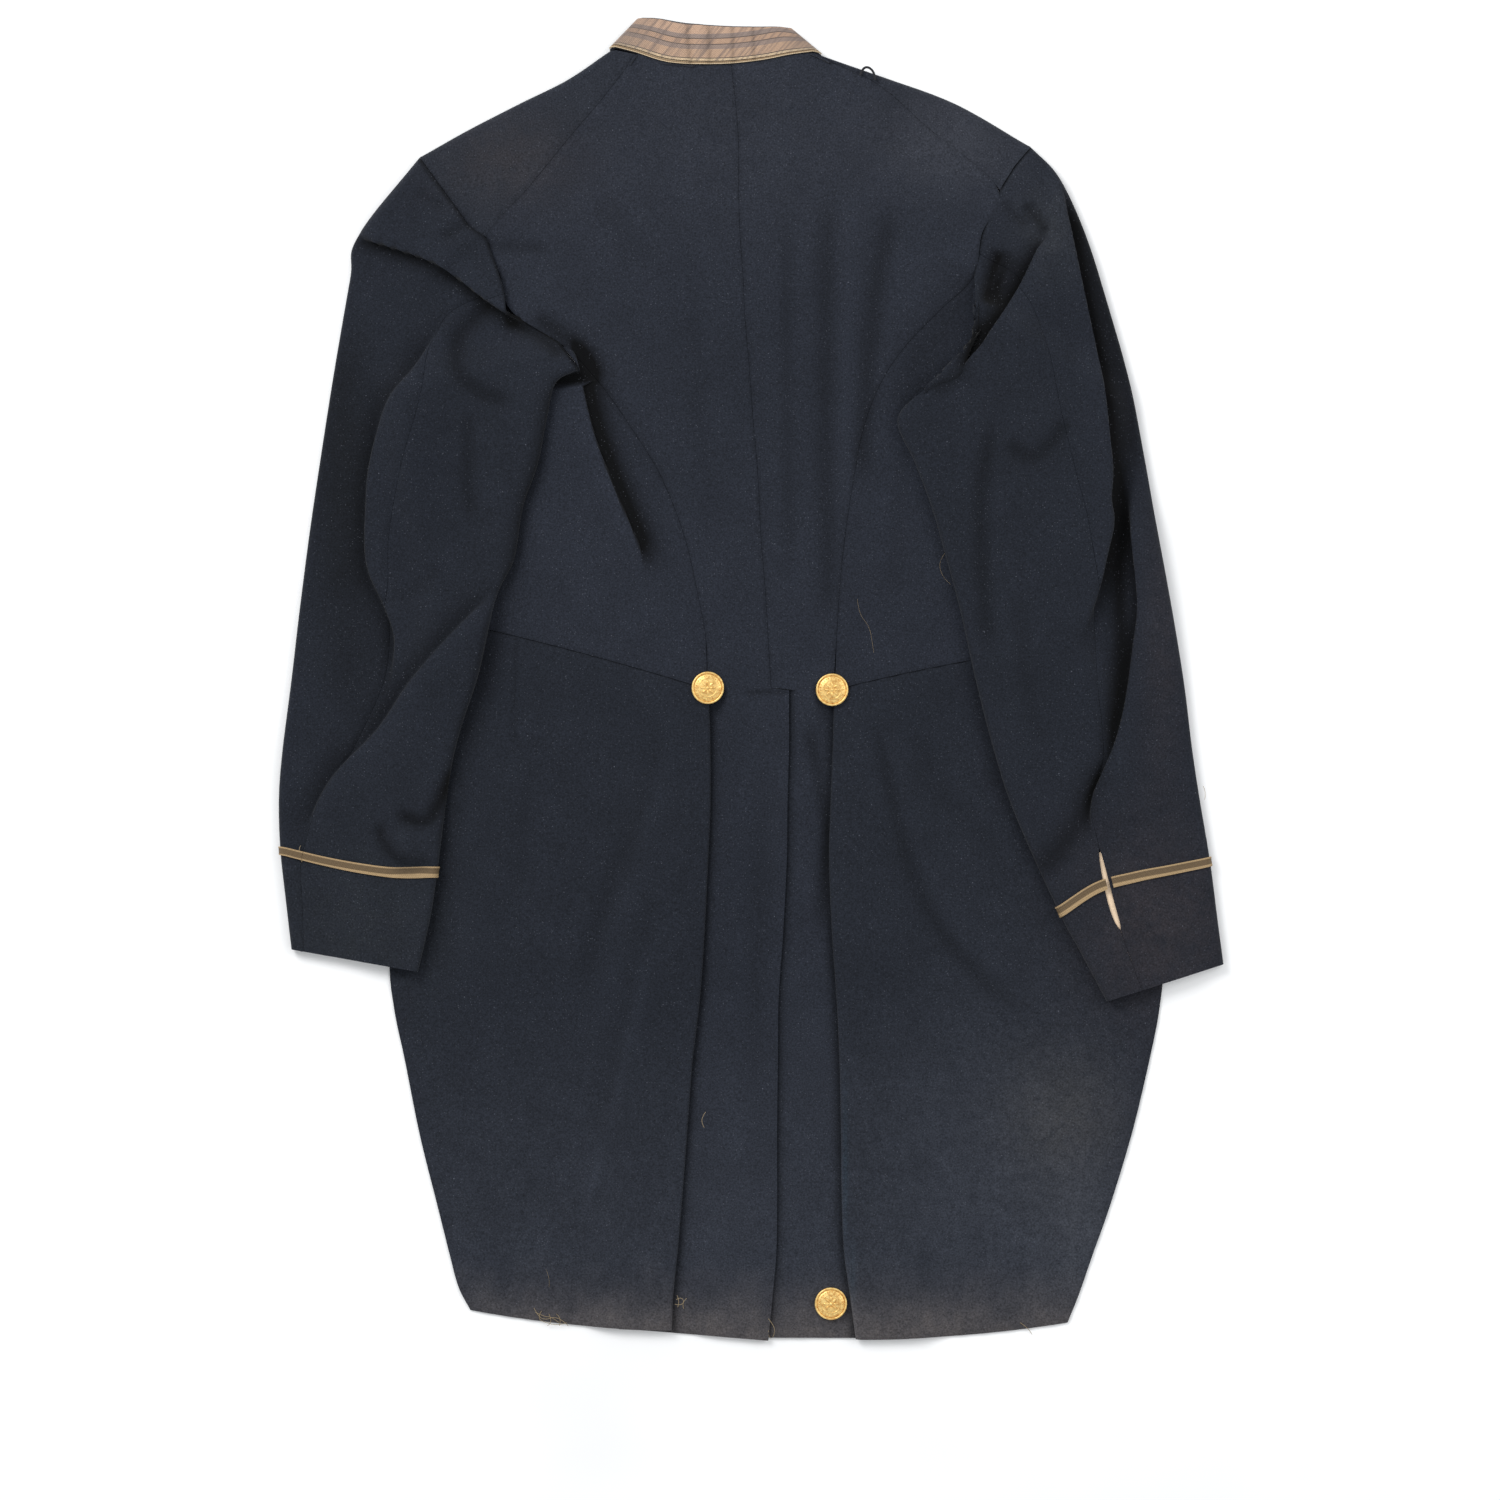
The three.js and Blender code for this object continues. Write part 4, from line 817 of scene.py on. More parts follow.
# %% Side panels
def side_panel(side):
    last, corner, rows = len(BACK["leftX"]) - 1, waist_corner(side), []
    for at in steps(BACK, FINE + 0.5, side["side_top"]):
        seam = beside(BACK, *side["seam"], at, side["sign"] * SEAM / 2)
        if at < side["armpit"]:
            part = (at - side["side_top"]) / (side["armpit"] - side["side_top"])
            hole = side["side_armhole"]
            edge = place(hole, "x", "y", part * (len(hole["x"]) - 1))
        else:
            part = (at - side["armpit"]) / (last - side["armpit"])
            y = side["side"]["y"][0] + (corner[1] - side["side"]["y"][0]) * part
            edge = np.array([side_x(side, y) - side["sign"] * UNDERARM, y])
        row = flat_section(seam, edge, BODY_COLUMNS, (0, SEAM / 2))
        low = max(at - last + 1, 0)
        row[:, 1] += low * (waist_y(row[:, 0], row[:, 1]) + SEAM - row[:, 1])
        rows.append(row)
    rows = np.array(rows)
    height, shift, shade = relief(BODY_FOLDS, rows[..., 0], rows[..., 1])
    grid = pressed(np.dstack([rows + 0.6 * shift, BODY + height]), "start last", 0.35)
    shade = seam_shaded(shade, grid, "start last", 0.15)
    return add_sheet(f"side_body_{side['name']}_cloth", grid, shade)


for side in (LEFT, RIGHT):
    side_panel(side)

# %% [markdown]
# ## The fronts
# Most of a front lies face down, flat on the surface. At the shoulder and at the side it is folded round to
# meet the back, so a front is a flat outline with two folded strips. The strips end on the outline, and
# merging the points that coincide makes one sheet of all three.

# %% Fronts, with their shoulder and side strips
FRONT_SCOOP, NECK_SEAM, STRIP_SPACING = 2, 0.8, 3
ARMPIT_REACH, ARMPIT_TRIM, NECK_TRIM = 22, 2, 0.5
WAIST_TRIM, WAIST_CORNER = 3, 100.0
OVER_SHOULDER = 0.05


def armhole_normal(side):
    hole = side["armhole"]
    across = unit(np.array([hole["x"][-1] - hole["x"][0], hole["y"][-1] - hole["y"][0]]))
    return np.array([-side["sign"] * across[1], side["sign"] * across[0]])


def on_line(points, part):
    """Places by their share of the way along a line of points."""
    far = np.concatenate([[0], np.cumsum(np.linalg.norm(np.diff(points, axis=0), axis=1))])
    return np.stack([np.interp(part * far[-1], far, points[:, k]) for k in range(2)], axis=-1)


def bend(points, part, ends=None):
    """How far a line of points lies from the straight way between its ends, or between two other places."""
    start, end = (points[0], points[-1]) if ends is None else ends
    return on_line(points, part) - (start + (end - start) * part[..., None])


def shoulder_way(hole, edge, seam, share):
    """From the shoulder's edge to the back, curved by a share as the top of the armhole is."""
    upper = hole[:np.linalg.norm(hole - seam, axis=1).argmin() + 1]
    length, way = np.linalg.norm(seam - edge), straight(edge, seam)

    def curved(distance):
        part = np.clip(distance / length, 0, 1)
        return way(distance) + share * bend(upper, part, (edge, seam))
    return curved


def strip_faces(rows, columns, first):
    """Faces of a grid of points that starts at an index."""
    corner = first + np.arange(rows - 1)[:, None] * columns + np.arange(columns - 1)
    faces = np.stack([corner, corner + 1, corner + columns + 1, corner + columns], axis=-1)
    return faces.reshape(-1, 4).tolist()


def front_panel(side):
    neck_at = np.linspace(0, 4, 33)
    neck = place(side["front_neck"], "seamX", "seamY", neck_at)
    neck += NECK_SEAM * unit(neck - place(side["front_neck"], "topX", "topY", neck_at))
    hole = np.stack([side["armhole"]["x"], side["armhole"]["y"]], axis=1)
    last = len(side["shoulder"]["x"]) - 1
    shoulder, flank = [], []
    for at in steps(side["shoulder"], STRIP_SPACING):
        edge = place(side["shoulder"], "x", "y", at)
        seam = beside(BACK, *side["seam"], at, side["sign"] * SEAM / 2)
        below = neck[4] + (hole[1] - neck[4]) * at / last if at < last else seam
        over = shoulder_way(hole, edge, seam, max(at - last + 1, 0) ** 2)
        shoulder.append(folded_section(
            over, straight(edge, below), np.linalg.norm(edge - seam), TUCK, torso_top, floor, (26, 2)))
    for at in steps(side["side"], STRIP_SPACING):
        edge = place(side["side"], "x", "y", at)
        fall = (waist_corner(side)[1] - side["side"]["y"][-1]) * at / (len(side["side"]["y"]) - 1)
        seam = edge - np.array([side["sign"] * (UNDERARM - SEAM / 2), -fall])
        way = straight(edge, seam)
        flank.append(folded_section(way, way, UNDERARM - SEAM / 2, TUCK, torso_top, floor, (7, 2)))
    shoulder = pressed(np.array(shoulder), "start", 0.7)
    flank = pressed(np.array(flank), "start last", 0.7)
    armhole = hole[1:] - FRONT_SCOOP * armhole_normal(side)
    armpit = hole[-1][0] + side["sign"] * ARMPIT_REACH
    edge = CENTRE_FRONT + FRONT_LAP / 2 + (SEAM if side is RIGHT else 0)
    neck_top = neck[-1][1] - NECK_TRIM
    ends = (side["sign"] * WAIST_CORNER, edge)
    bottom = [np.array([x, waist_y(np.array(x), 0.0) + WAIST_TRIM]) for x in ends]
    inner = [p for p in neck[4:] if side is LEFT or p[0] > edge]
    outline = [*shoulder[:, -1, :2], *armhole, np.array([armpit, armhole_bottom(side, armpit) - ARMPIT_TRIM])]
    outline += [*flank[:, -1, :2], *bottom, np.array([edge, neck_top]), *inner[::-1]]
    level = np.pad(np.array(outline), ((0, 0), (0, 1)))
    points = np.concatenate([shoulder.reshape(-1, 3), flank.reshape(-1, 3), level])
    first, flat = shoulder.shape[0] * shoulder.shape[1], len(points) - len(outline)
    faces = strip_faces(*shoulder.shape[:2], 0) + strip_faces(*flank.shape[:2], first)
    faces.append(list(range(flat, len(points))))
    mesh = bpy.data.meshes.new(f"front_{side['name']}_cloth")
    mesh.from_pydata((points * MM).tolist(), [], faces)
    sheet = bpy.data.objects.new(mesh.name, mesh)
    bpy.context.scene.collection.objects.link(sheet)
    only(sheet)
    bpy.ops.object.mode_set(mode="EDIT")
    bpy.ops.mesh.select_all(action="SELECT")
    bpy.ops.mesh.remove_doubles(threshold=0.0001)
    bpy.ops.mesh.normals_make_consistent(inside=False)
    bpy.ops.object.mode_set(mode="OBJECT")
    lowest = max(mesh.polygons, key=lambda face: face.area)
    if lowest.normal.z > 0:
        mesh.flip_normals()
    mesh.attributes.new("shade", "FLOAT", "POINT")
    mesh.uv_layers.new(name="UVMap")
    sheet["area"] = sum(face.area for face in mesh.polygons)
    return thickened(sheet_size(sheet), CLOTH)


def sheet_size(sheet):
    """Notes the cut's width and length: the sheet's box, with what is folded over the shoulder and side."""
    corners = np.array([v.co for v in sheet.data.vertices])
    size = corners.max(axis=0) - corners.min(axis=0)
    sheet["width"] = float(size[0] + UNDERARM * MM)
    sheet["length"] = float(size[1] + OVER_SHOULDER)
    return sheet


for side in (LEFT, RIGHT):
    front_panel(side)

# %% [markdown]
# The right front goes on across the centre, inside the left one, as a coat's fronts do when it is closed.
# That lap is a plain strip with a step at its edge, and it shares the right front's cloth.

# %% The lap inside the fronts
def front_lap():
    edge = CENTRE_FRONT + FRONT_LAP / 2 + SEAM
    neck_top = FRONT_NECK_RIGHT["seamY"][-1] - NECK_SEAM - NECK_TRIM
    across = np.concatenate([[edge + 2.4, edge + 1.2], np.linspace(edge, edge - FRONT_LAP, 16)])
    level = np.concatenate([[0.05, 0.8], np.full(16, CLOTH + LAYER)])
    low = waist_y(across, across * 0) + WAIST_TRIM
    y = low + (neck_top - low) * np.linspace(1, 0, 60)[:, None]
    grid = np.dstack([np.broadcast_to(across, y.shape), y, np.broadcast_to(level + CLOTH, y.shape)])
    lap, front = add_sheet("front_lap", grid), cloth["front_right_cloth"]
    del cloth["front_lap"]
    width, area = front["width"] + lap["width"], front["area"] + lap["area"]
    only(front)
    lap.select_set(True)
    bpy.ops.object.join()
    front["width"], front["area"] = width, area


front_lap()

# %% [markdown]
# ## The skirts
# Each skirt hangs from the side of the waist. Its back edge is folded under as a deep pleat behind the hip
# button, and its front edge is cut away in a long curve. The right pleat's edge is made paler towards the
# hem.

# %% Skirts with their pleats
SEAM_ALLOWANCE = 1.3
SKIRT_COUNTS = (78, 8)


def skirt_panel(side):
    rows = []
    for at in steps(side["skirt"], FINE + 0.3):
        gap = np.array([0, SEAM if at == 0 else 0])
        pleat = place(side["skirt"], "pleatX", "pleatY", at) - gap
        edge = place(side["skirt"], "edgeX", "edgeY", at) - gap
        way = straight(pleat, edge, column(side["skirt"]["bow"], at))
        deep = smooth((side["skirt"]["pleatY"][0] - pleat[1]) / PLEAT_START)
        under = PLEAT_TOP + deep * (PLEAT - PLEAT_TOP)
        rows.append(folded_section(way, way, np.linalg.norm(pleat - edge), under, skirt_top,
                                   lambda x, y: skirt_top(x, y) - TWO_LAYERS, SKIRT_COUNTS))
    grid = pressed(pressed(np.array(rows), "start last", 0.6, 1.6), "first", 0.9, 1.6)
    shade = relief(SKIRT_FOLDS, grid[..., 0], grid[..., 1])[2]
    allowance = grid[0] + np.array([0, SEAM_ALLOWANCE, -CLOTH - LAYER])
    grid, shade = np.concatenate([allowance[None], grid]), np.concatenate([shade[:1], shade])
    shade = seam_shaded(shade, grid, "first", 0.5, 2.6)
    if side is RIGHT:
        # The right pleat's edge is made paler towards the hem.
        paler_to_hem = smooth((-150 - grid[..., 1]) / 200)
        shade -= 0.3 * np.exp(-((from_pleat(grid[..., 0], grid[..., 1]) / 1.8) ** 2)) * paler_to_hem
    shade[:, -SKIRT_COUNTS[1] - 1:] = 0
    return add_sheet(f"skirt_{side['name']}_cloth", grid, shade)


for side in (LEFT, RIGHT):
    skirt_panel(side)

# %% [markdown]
# ## The sleeves
# A two-piece sleeve is a bent tube. Laid flat, its upper piece goes round the outer edge and its under piece
# round the inner one. They meet at the hind-arm seam on top and at the forearm seam underneath. This is where
# the coat creases most, so here the laps also lean over their hollows, which makes a real dark gap.

# %% Sleeve pieces
SLIT, SLIT_MIDDLE, SLIT_REACH = 2.0, 11.1, 0.62


def sleeve_section(side, at):
    """The places across a sleeve by fraction from its outer to its inner edge, and its width there."""
    outer = place(side["sleeve"], "outerX", "outerY", at)
    inner = place(side["sleeve"], "innerX", "innerY", at)
    hole = np.stack([side["armhole"]["x"], side["armhole"]["y"]], axis=1)
    away = MOUTH * armhole_normal(side)
    bent = max(1 - at / ARMHOLE_ROWS, 0) ** 2

    def where(part):
        part = np.asarray(part)
        return outer + (inner - outer) * part[..., None] + (bend(hole, np.clip(part, 0, 1)) + away) * bent
    return where, np.linalg.norm(outer - inner)


def sleeve_row(side, at, is_upper, counts):
    where, length = sleeve_section(side, at)
    seam = column(side["sleeve"]["seam"], at)
    opening = max(1 - ((at - SLIT_MIDDLE) / SLIT_REACH) ** 2, 0) ** 0.5
    gap = SEAM / 2 + SLIT * side["sleeve"]["slit"].max() * opening

    def way(distance):
        return where(distance / length if is_upper else 1 - distance / length)

    return folded_section(
        way, way, (seam if is_upper else 1 - seam) * length - gap,
        (FOREARM_SEAM if is_upper else 1 - FOREARM_SEAM) * length - SEAM / 2,
        sleeve_top(side), lambda x, y: support(side, x, y), counts)


def sleeve_counts(is_upper):
    return (38, 14) if is_upper else (42, 4)


def sleeve_grid(side, is_upper, rows):
    """Rows of a sleeve piece, with the laps leaning over their hollows, and the shade painted into its
    hollows.
    """
    counts = sleeve_counts(is_upper)
    grid = np.array([sleeve_row(side, at, is_upper, counts) for at in rows])
    _, shift, shade = relief(side["folds"], grid[..., 0], grid[..., 1])
    on_top = counts[0] + ARC
    across, _ = distances(grid)
    from_fold = across[:, on_top:on_top + 1] - across
    grid[:, :on_top, :2] += (shift * smooth(from_fold / 12)[..., None])[:, :on_top]
    shade[:, on_top + ARC:] = 0
    return grid, shade


def sleeve_piece(side, is_upper):
    grid, shade = sleeve_grid(side, is_upper, steps(side["sleeve"], FINE))
    name = f"sleeve_{side['name']}_{'upper' if is_upper else 'under'}_cloth"
    return add_sheet(name, pressed(grid, "start first", 0.8), seam_shaded(shade, grid, "first", 0.8, 1.2))


for side in (LEFT, RIGHT):
    for is_upper in (True, False):
        sleeve_piece(side, is_upper)

# %% [markdown]
# ## Collar, lace and braid
# The standing collar lies flattened, so it is a ring of cloth with its back half on top. The lace is a woven
# strip laid on it. It is made from the collar's own points, moved out along their normals, so it follows
# every wrinkle, and so does the narrow braid along the neck seam and round the cuffs.

# %% The collar's ring
COLLAR_HEIGHT, COLLAR_BARE, COLLAR_TOP = 34, 0.9, 5.6
COLLAR_COUNTS = (48, 20)
COLLAR_FOLDS = folds(NO_LAPS, [
    (-0.7, 1.6, 0.5, [(-43, 452), (-42, 430), (-40, 406)]),
    (-0.6, 1.5, 0.5, [(-29, 452), (-28, 430), (-27, 404)]),
    (-0.5, 1.5, 0.4, [(-12, 450), (-12, 430), (-11, 404)]),
    (-0.5, 1.3, 0.4, [(2, 450), (2, 430), (3, 404)]),
    (0.5, 2.5, -0.1, [(-35, 452), (-35, 430), (-34, 406)]),
])


def collar_row(part):
    """A section round the collar: front end, left fold, back, right fold, front end."""
    def along(rows):
        def way(at):
            return (1 - part) * place(rows, "seamX", "seamY", at) + part * place(rows, "topX", "topY", at)
        return way

    def top(x, y):
        return BODY + part * (COLLAR_TOP - BODY) + relief(COLLAR_FOLDS, x, y)[0]

    back, last = along(NECK), len(NECK["seamX"]) - 1

    def half(front, start, turn):
        back_length = np.linalg.norm(back(start) - back(last / 2))
        front_length = np.linalg.norm(back(start) - front(4))
        return folded_section(
            lambda distance: back(start + turn * last / 2 * distance / back_length),
            lambda distance: front(4 * distance / front_length),
            back_length, front_length, top, floor, COLLAR_COUNTS)

    left, right = half(along(FRONT_NECK_LEFT), 0, 1), half(along(FRONT_NECK_RIGHT), last, -1)
    return np.concatenate([left[::-1], right[1:]])


collar = np.array([collar_row(part) for part in np.linspace(SEAM / COLLAR_HEIGHT, 1, 16)])
add_sheet("collar_cloth", collar, relief(COLLAR_FOLDS, collar[..., 0], collar[..., 1])[2])

# %% Lace and braid
LACE, LACE_START, CUFF_BRAID = 0.8, 0.1, 6
NECK_BRAID, NECK_BRAID_WIDTH = (0.02, 0.08), 2
LINING_ROWS, SLIT_BACKING = (10.5, 12.4), 8
LEFT["braid_bow"] = np.array([0, -3, -4.6, -4.2, 0])
RIGHT["braid_bow"] = np.array([0, 3.4, 6.8, 8, 0])


def lying_on(grid, lift):
    """Places moved out from a grid of points along its normals."""
    normal = unit(np.cross(np.gradient(grid, axis=1), np.gradient(grid, axis=0)))
    high = grid[..., 2] > np.quantile(grid[..., 2], UPPER_SHARE)
    turn = -1 if normal[..., 2][high].sum() < 0 else 1
    return grid + turn * normal * np.broadcast_to(lift, grid.shape[:2])[..., None]


def on_collar(name, low, high, rows):
    hidden = COLLAR_COUNTS[1] + ARC
    grid = np.array([collar_row(part) for part in np.linspace(low, high, rows)])[:, hidden:-hidden]
    shade = relief(COLLAR_FOLDS, grid[..., 0], grid[..., 1])[2]
    return add_sheet(name, lying_on(grid, LAYER + LACE), shade, LACE)


def cuff_braid(side, row, is_upper):
    across = np.linspace(-1, 1, 11)
    grid, shade = sleeve_grid(side, is_upper, row + across * CUFF_BRAID / 2 / ROW_SPACING)
    turned = sleeve_counts(is_upper)[0] + ARC + 1
    where, length = sleeve_section(side, row)
    part = np.clip(np.linalg.norm(grid[..., :2] - where(0.0), axis=-1) / length, 0, 1)
    level = sleeve_top(side)(grid[..., 0], grid[..., 1])
    grid[..., 1] += column(side["braid_bow"], 4 * part)
    grid[..., 2] += sleeve_top(side)(grid[..., 0], grid[..., 1]) - level
    ribs = np.where(np.abs(np.abs(across) - 0.8) < 0.15, 0.25, 0)
    name = f"cuff_braid_{side['name']}_{'upper' if is_upper else 'under'}_trim"
    raised_grid = lying_on(grid[:, :turned], LAYER + LACE + ribs[:, None])
    return add_sheet(name, raised_grid, shade[:, :turned], LACE)


def cuff_lining():
    rows = []
    for at in np.linspace(*LINING_ROWS, 36):
        where, length = sleeve_section(RIGHT, at)
        seam, reach = column(RIGHT_SLEEVE["seam"], at), SLIT_BACKING / length
        rows.append(flat_section(where(seam - reach), where(seam + reach), 10))
    grid = raised(np.array(rows), lambda x, y: sleeve_top(RIGHT)(x, y) - CLOTH - LAYER)
    return add_sheet("cuff_lining_right_cloth", grid, None, LACE)


on_collar("collar_lace_trim", LACE_START, 1 - COLLAR_BARE / COLLAR_HEIGHT, 26)
on_collar("neck_braid_trim", *NECK_BRAID, 5)
for is_upper in (True, False):
    cuff_braid(LEFT, 10, is_upper)
    cuff_braid(RIGHT, 11, is_upper)
cuff_lining()

# %% [markdown]
# ## Buttons
# A gilt uniform button is a brass shell pressed over a die. This one has a plain face, with rings, a circle
# of beads and a rosette. It is built from primitives, one for each raised form, joined into one button, and
# copied to its three places.

# %% A gilt button from primitives
BUTTON = 11
parts = []


def keep(sharp=False):
    """Smooths the primitive just made and notes it as a part of what is being built."""
    part = bpy.context.object
    only(part)
    bpy.ops.object.transform_apply(location=True, rotation=True, scale=True)
    if not sharp:
        bpy.ops.object.shade_smooth()
    parts.append(part)
    return part


def ring(radius, thick, height):
    bpy.ops.mesh.primitive_torus_add(
        major_radius=radius * MM, minor_radius=thick * MM, major_segments=64, minor_segments=10,
        location=(0, 0, height * MM))
    keep()


def boss(x, y, height, size, turn=0.0, segments=12):
    bpy.ops.mesh.primitive_uv_sphere_add(
        segments=segments, ring_count=segments // 2,
        location=(x * MM, y * MM, height * MM), rotation=(0, 0, turn))
    bpy.context.object.scale = tuple(v * MM for v in size)
    keep()


bpy.ops.mesh.primitive_cylinder_add(
    vertices=64, radius=(BUTTON - 0.3) * MM, depth=1.4 * MM, location=(0, 0, 0.7 * MM))
disc = keep(sharp=True)
boss(0, 0, 1.2, (9.4, 9.4, 2.1), segments=48)
ring(BUTTON - 0.8, 0.75, 1.5)
ring(6.2, 0.4, 2.75)
for turn in np.linspace(0, math.tau, 30, endpoint=False):
    boss(7.9 * math.cos(turn), 7.9 * math.sin(turn), 2.35, (0.5, 0.5, 0.45), segments=8)
for turn in np.linspace(0, math.tau, 8, endpoint=False):
    boss(3.3 * math.cos(turn), 3.3 * math.sin(turn), 3.1, (2, 0.9, 0.8), turn)
boss(0, 0, 3.2, (1.2, 1.2, 0.9))
only(disc)
for part in parts:
    part.select_set(True)
bpy.ops.object.join()
disc.name = disc.data.name = "button"

# %% The three buttons in place
BUTTONS = {
    "hip_button_left": (-28.7, -5.7, BODY),
    "hip_button_right": (55, -7, BODY),
    "tail_button_right": (54.3, -421, CLOTH),
}
for name, (x, y, z) in BUTTONS.items():
    button = disc.copy()
    button.data = disc.data.copy()
    button.name = button.data.name = name + "_face"
    bpy.context.scene.collection.objects.link(button)
    only(button)
    bpy.ops.transform.translate(value=(x * MM, y * MM, (z + LAYER) * MM))
    bpy.ops.object.transform_apply(location=True)
bpy.data.objects.remove(disc)
print("button triangles:", sum(len(f.vertices) - 2 for f in button.data.polygons))

# %% [markdown]
# ## Cord and loose threads
# A thin round thing is easiest as a curve with a bevel: the curve is its path, and the bevel its thickness.
# A loop like the one on the shoulder holds an epaulette. Threads hang at the hems and where a button has
# come off, and a few hairs lie on the cloth.

# %% Shoulder loop and threads
LOOP = [(74, 407, 0.4), (75.5, 411.5, 1), (79.5, 412.5, 1.4), (83.5, 408.5, 1), (84, 403.5, 0.4)]
THREADS = [
    [(-50, -418, 0.3), (-47, -416, 1.2), (-44.5, -419, 1.5), (-47, -422, 1), (-51, -421, 0.5)],
    [(-45, -424, 0.4), (-46.5, -420, 1.8), (-43, -417, 0.6)],
    [(-49, -423, 0.4), (-47.5, -419, 1.5), (-49.5, -415, 0.5)],
    [(-145, -427, 0.2), (-139, -430, 0.3), (-134, -430, 0.3), (-129, -434, 0.2)],
    [(-136, -428, 0.2), (-133, -434, 0.2), (-137, -436, 0.1)],
    [(-146, -424, 0.4), (-143, -430, 0.6), (-138, -432, 0.4), (-133, -430, 0.4), (-127, -432, 0.3),
     (-123, -436, 0.2)],
    [(-141, -426, 0.4), (-144, -431, 0.4), (-138, -434, 0.3), (-130, -436, 0.2), (-124, -434, 0.4)],
    [(-131, -428, 0.4), (-127, -431, 0.6), (-129, -436, 0.3)],
    [(12, -431, 2.6), (16.5, -436, 2.6), (16, -443, 1.8), (12.5, -445.5, 0.6), (12, -439, 2.6)],
    [(182, -434, 0.2), (187, -437, 0.2), (190, -442, 0.1)],
    [(-30.2, -291.5, 0.4), (-32.6, -295, 0.6), (-32.8, -299, 0.5), (-31.2, -302, 0.3)],
    [(228, -84, 0.5), (231, -86, 0.6), (229, -89, 0.4)],
    [(305, -72, 0.2), (307, -76, 0.4), (306, -81, 0.2)],
    [(-303, -112, 0.5), (-305.5, -117, 1), (-302, -123, 0.5)],
]
HAIRS = [
    [(131.5, 86, 0.3), (127.5, 80, 0.5), (127.5, 74, 0.5), (131, 67, 0.4), (135, 64, 0.3)],
    [(72, 54, 0.2), (73, 44, 0.3), (80, 36, 0.3), (82, 26, 0.3), (83, 18, 0.2)],
    [(-138, -398, 0.3), (-135, -404, 0.3), (-136, -410, 0.2)],
]


BELOW_SLEEVES, BELOW_COAT = -250, -440


def height_at(x, y):
    """Height of what shows at a place: a sleeve's top beyond the body's side, or else the coat's."""
    side = side_of(x)
    x, y = np.array([float(x)]), np.array([float(y)])
    if y > BELOW_SLEEVES and side["sign"] * x > side["sign"] * outline_x(side, y):
        return float(sleeve_top(side)(x, y)[0])
    return float(coat_top(x, y)[0]) if y > BELOW_COAT else 0


def strand(name, lines, radius):
    """Round strands along lines of places, each with how high it rises off the cloth, as one mesh."""
    data = bpy.data.curves.new(name, "CURVE")
    data.dimensions = "3D"
    data.bevel_depth = radius * MM
    data.bevel_resolution = 2
    data.resolution_u = 6
    data.use_fill_caps = True
    for line in lines:
        spline = data.splines.new("NURBS")
        spline.points.add(len(line) - 1)
        spline.use_endpoint_u = True
        spline.order_u = 3
        for point, (x, y, rise) in zip(spline.points, line):
            point.co = (x * MM, y * MM, (height_at(x, y) + rise + radius) * MM, 1)
    obj = bpy.data.objects.new(name, data)
    bpy.context.scene.collection.objects.link(obj)
    only(obj)
    bpy.ops.object.convert(target="MESH")
    return bpy.context.object


loop = strand("shoulder_loop_right_cord", [LOOP], 0.8)
threads = strand("loose_threads", THREADS, 0.15)
hairs = strand("loose_hairs", HAIRS, 0.06)
print("threads:", len(THREADS), "loop points:", len(loop.data.vertices))

# %% [markdown]
# ## Writing shaders as arithmetic
# A procedural material is a formula: a colour here, darker where a noise is low, paler in a stain. Nodes are
# long to write one by one, so a small class turns each node's result into a value that can be added,
# multiplied or compared in plain Python.

# %% A class for shader values
def linear(red, green, blue):
    """A screen colour from 0 to 255 as the linear colour that Blender's sockets take."""
    def light(v):
        return v / 255 / 12.92 if v < 11 else ((v / 255 + 0.055) / 1.055) ** 2.4
    return (light(red), light(green), light(blue), 1)


class Value:
    """The result of a shader node, for use in arithmetic."""

    def __init__(self, paint, socket):
        self.paint, self.socket = paint, socket

    def __add__(self, other):
        return self.paint.math("ADD", self, other)

    def __sub__(self, other):
        return self.paint.math("SUBTRACT", self, other)

    def __rsub__(self, other):
        return self.paint.math("SUBTRACT", other, self)

    def __mul__(self, other):
        return self.paint.math("MULTIPLY", self, other)

    def __truediv__(self, other):
        return self.paint.math("DIVIDE", self, other)

    def __neg__(self):
        return self * -1

    __radd__, __rmul__ = __add__, __mul__

    def clamped(self):
        return self.paint.math("MULTIPLY", self, 1, use_clamp=True)

    def above(self, low, high):
        """Rises from 0 to 1 as this value goes from low to high."""
        return ((self - low) / (high - low)).clamped()


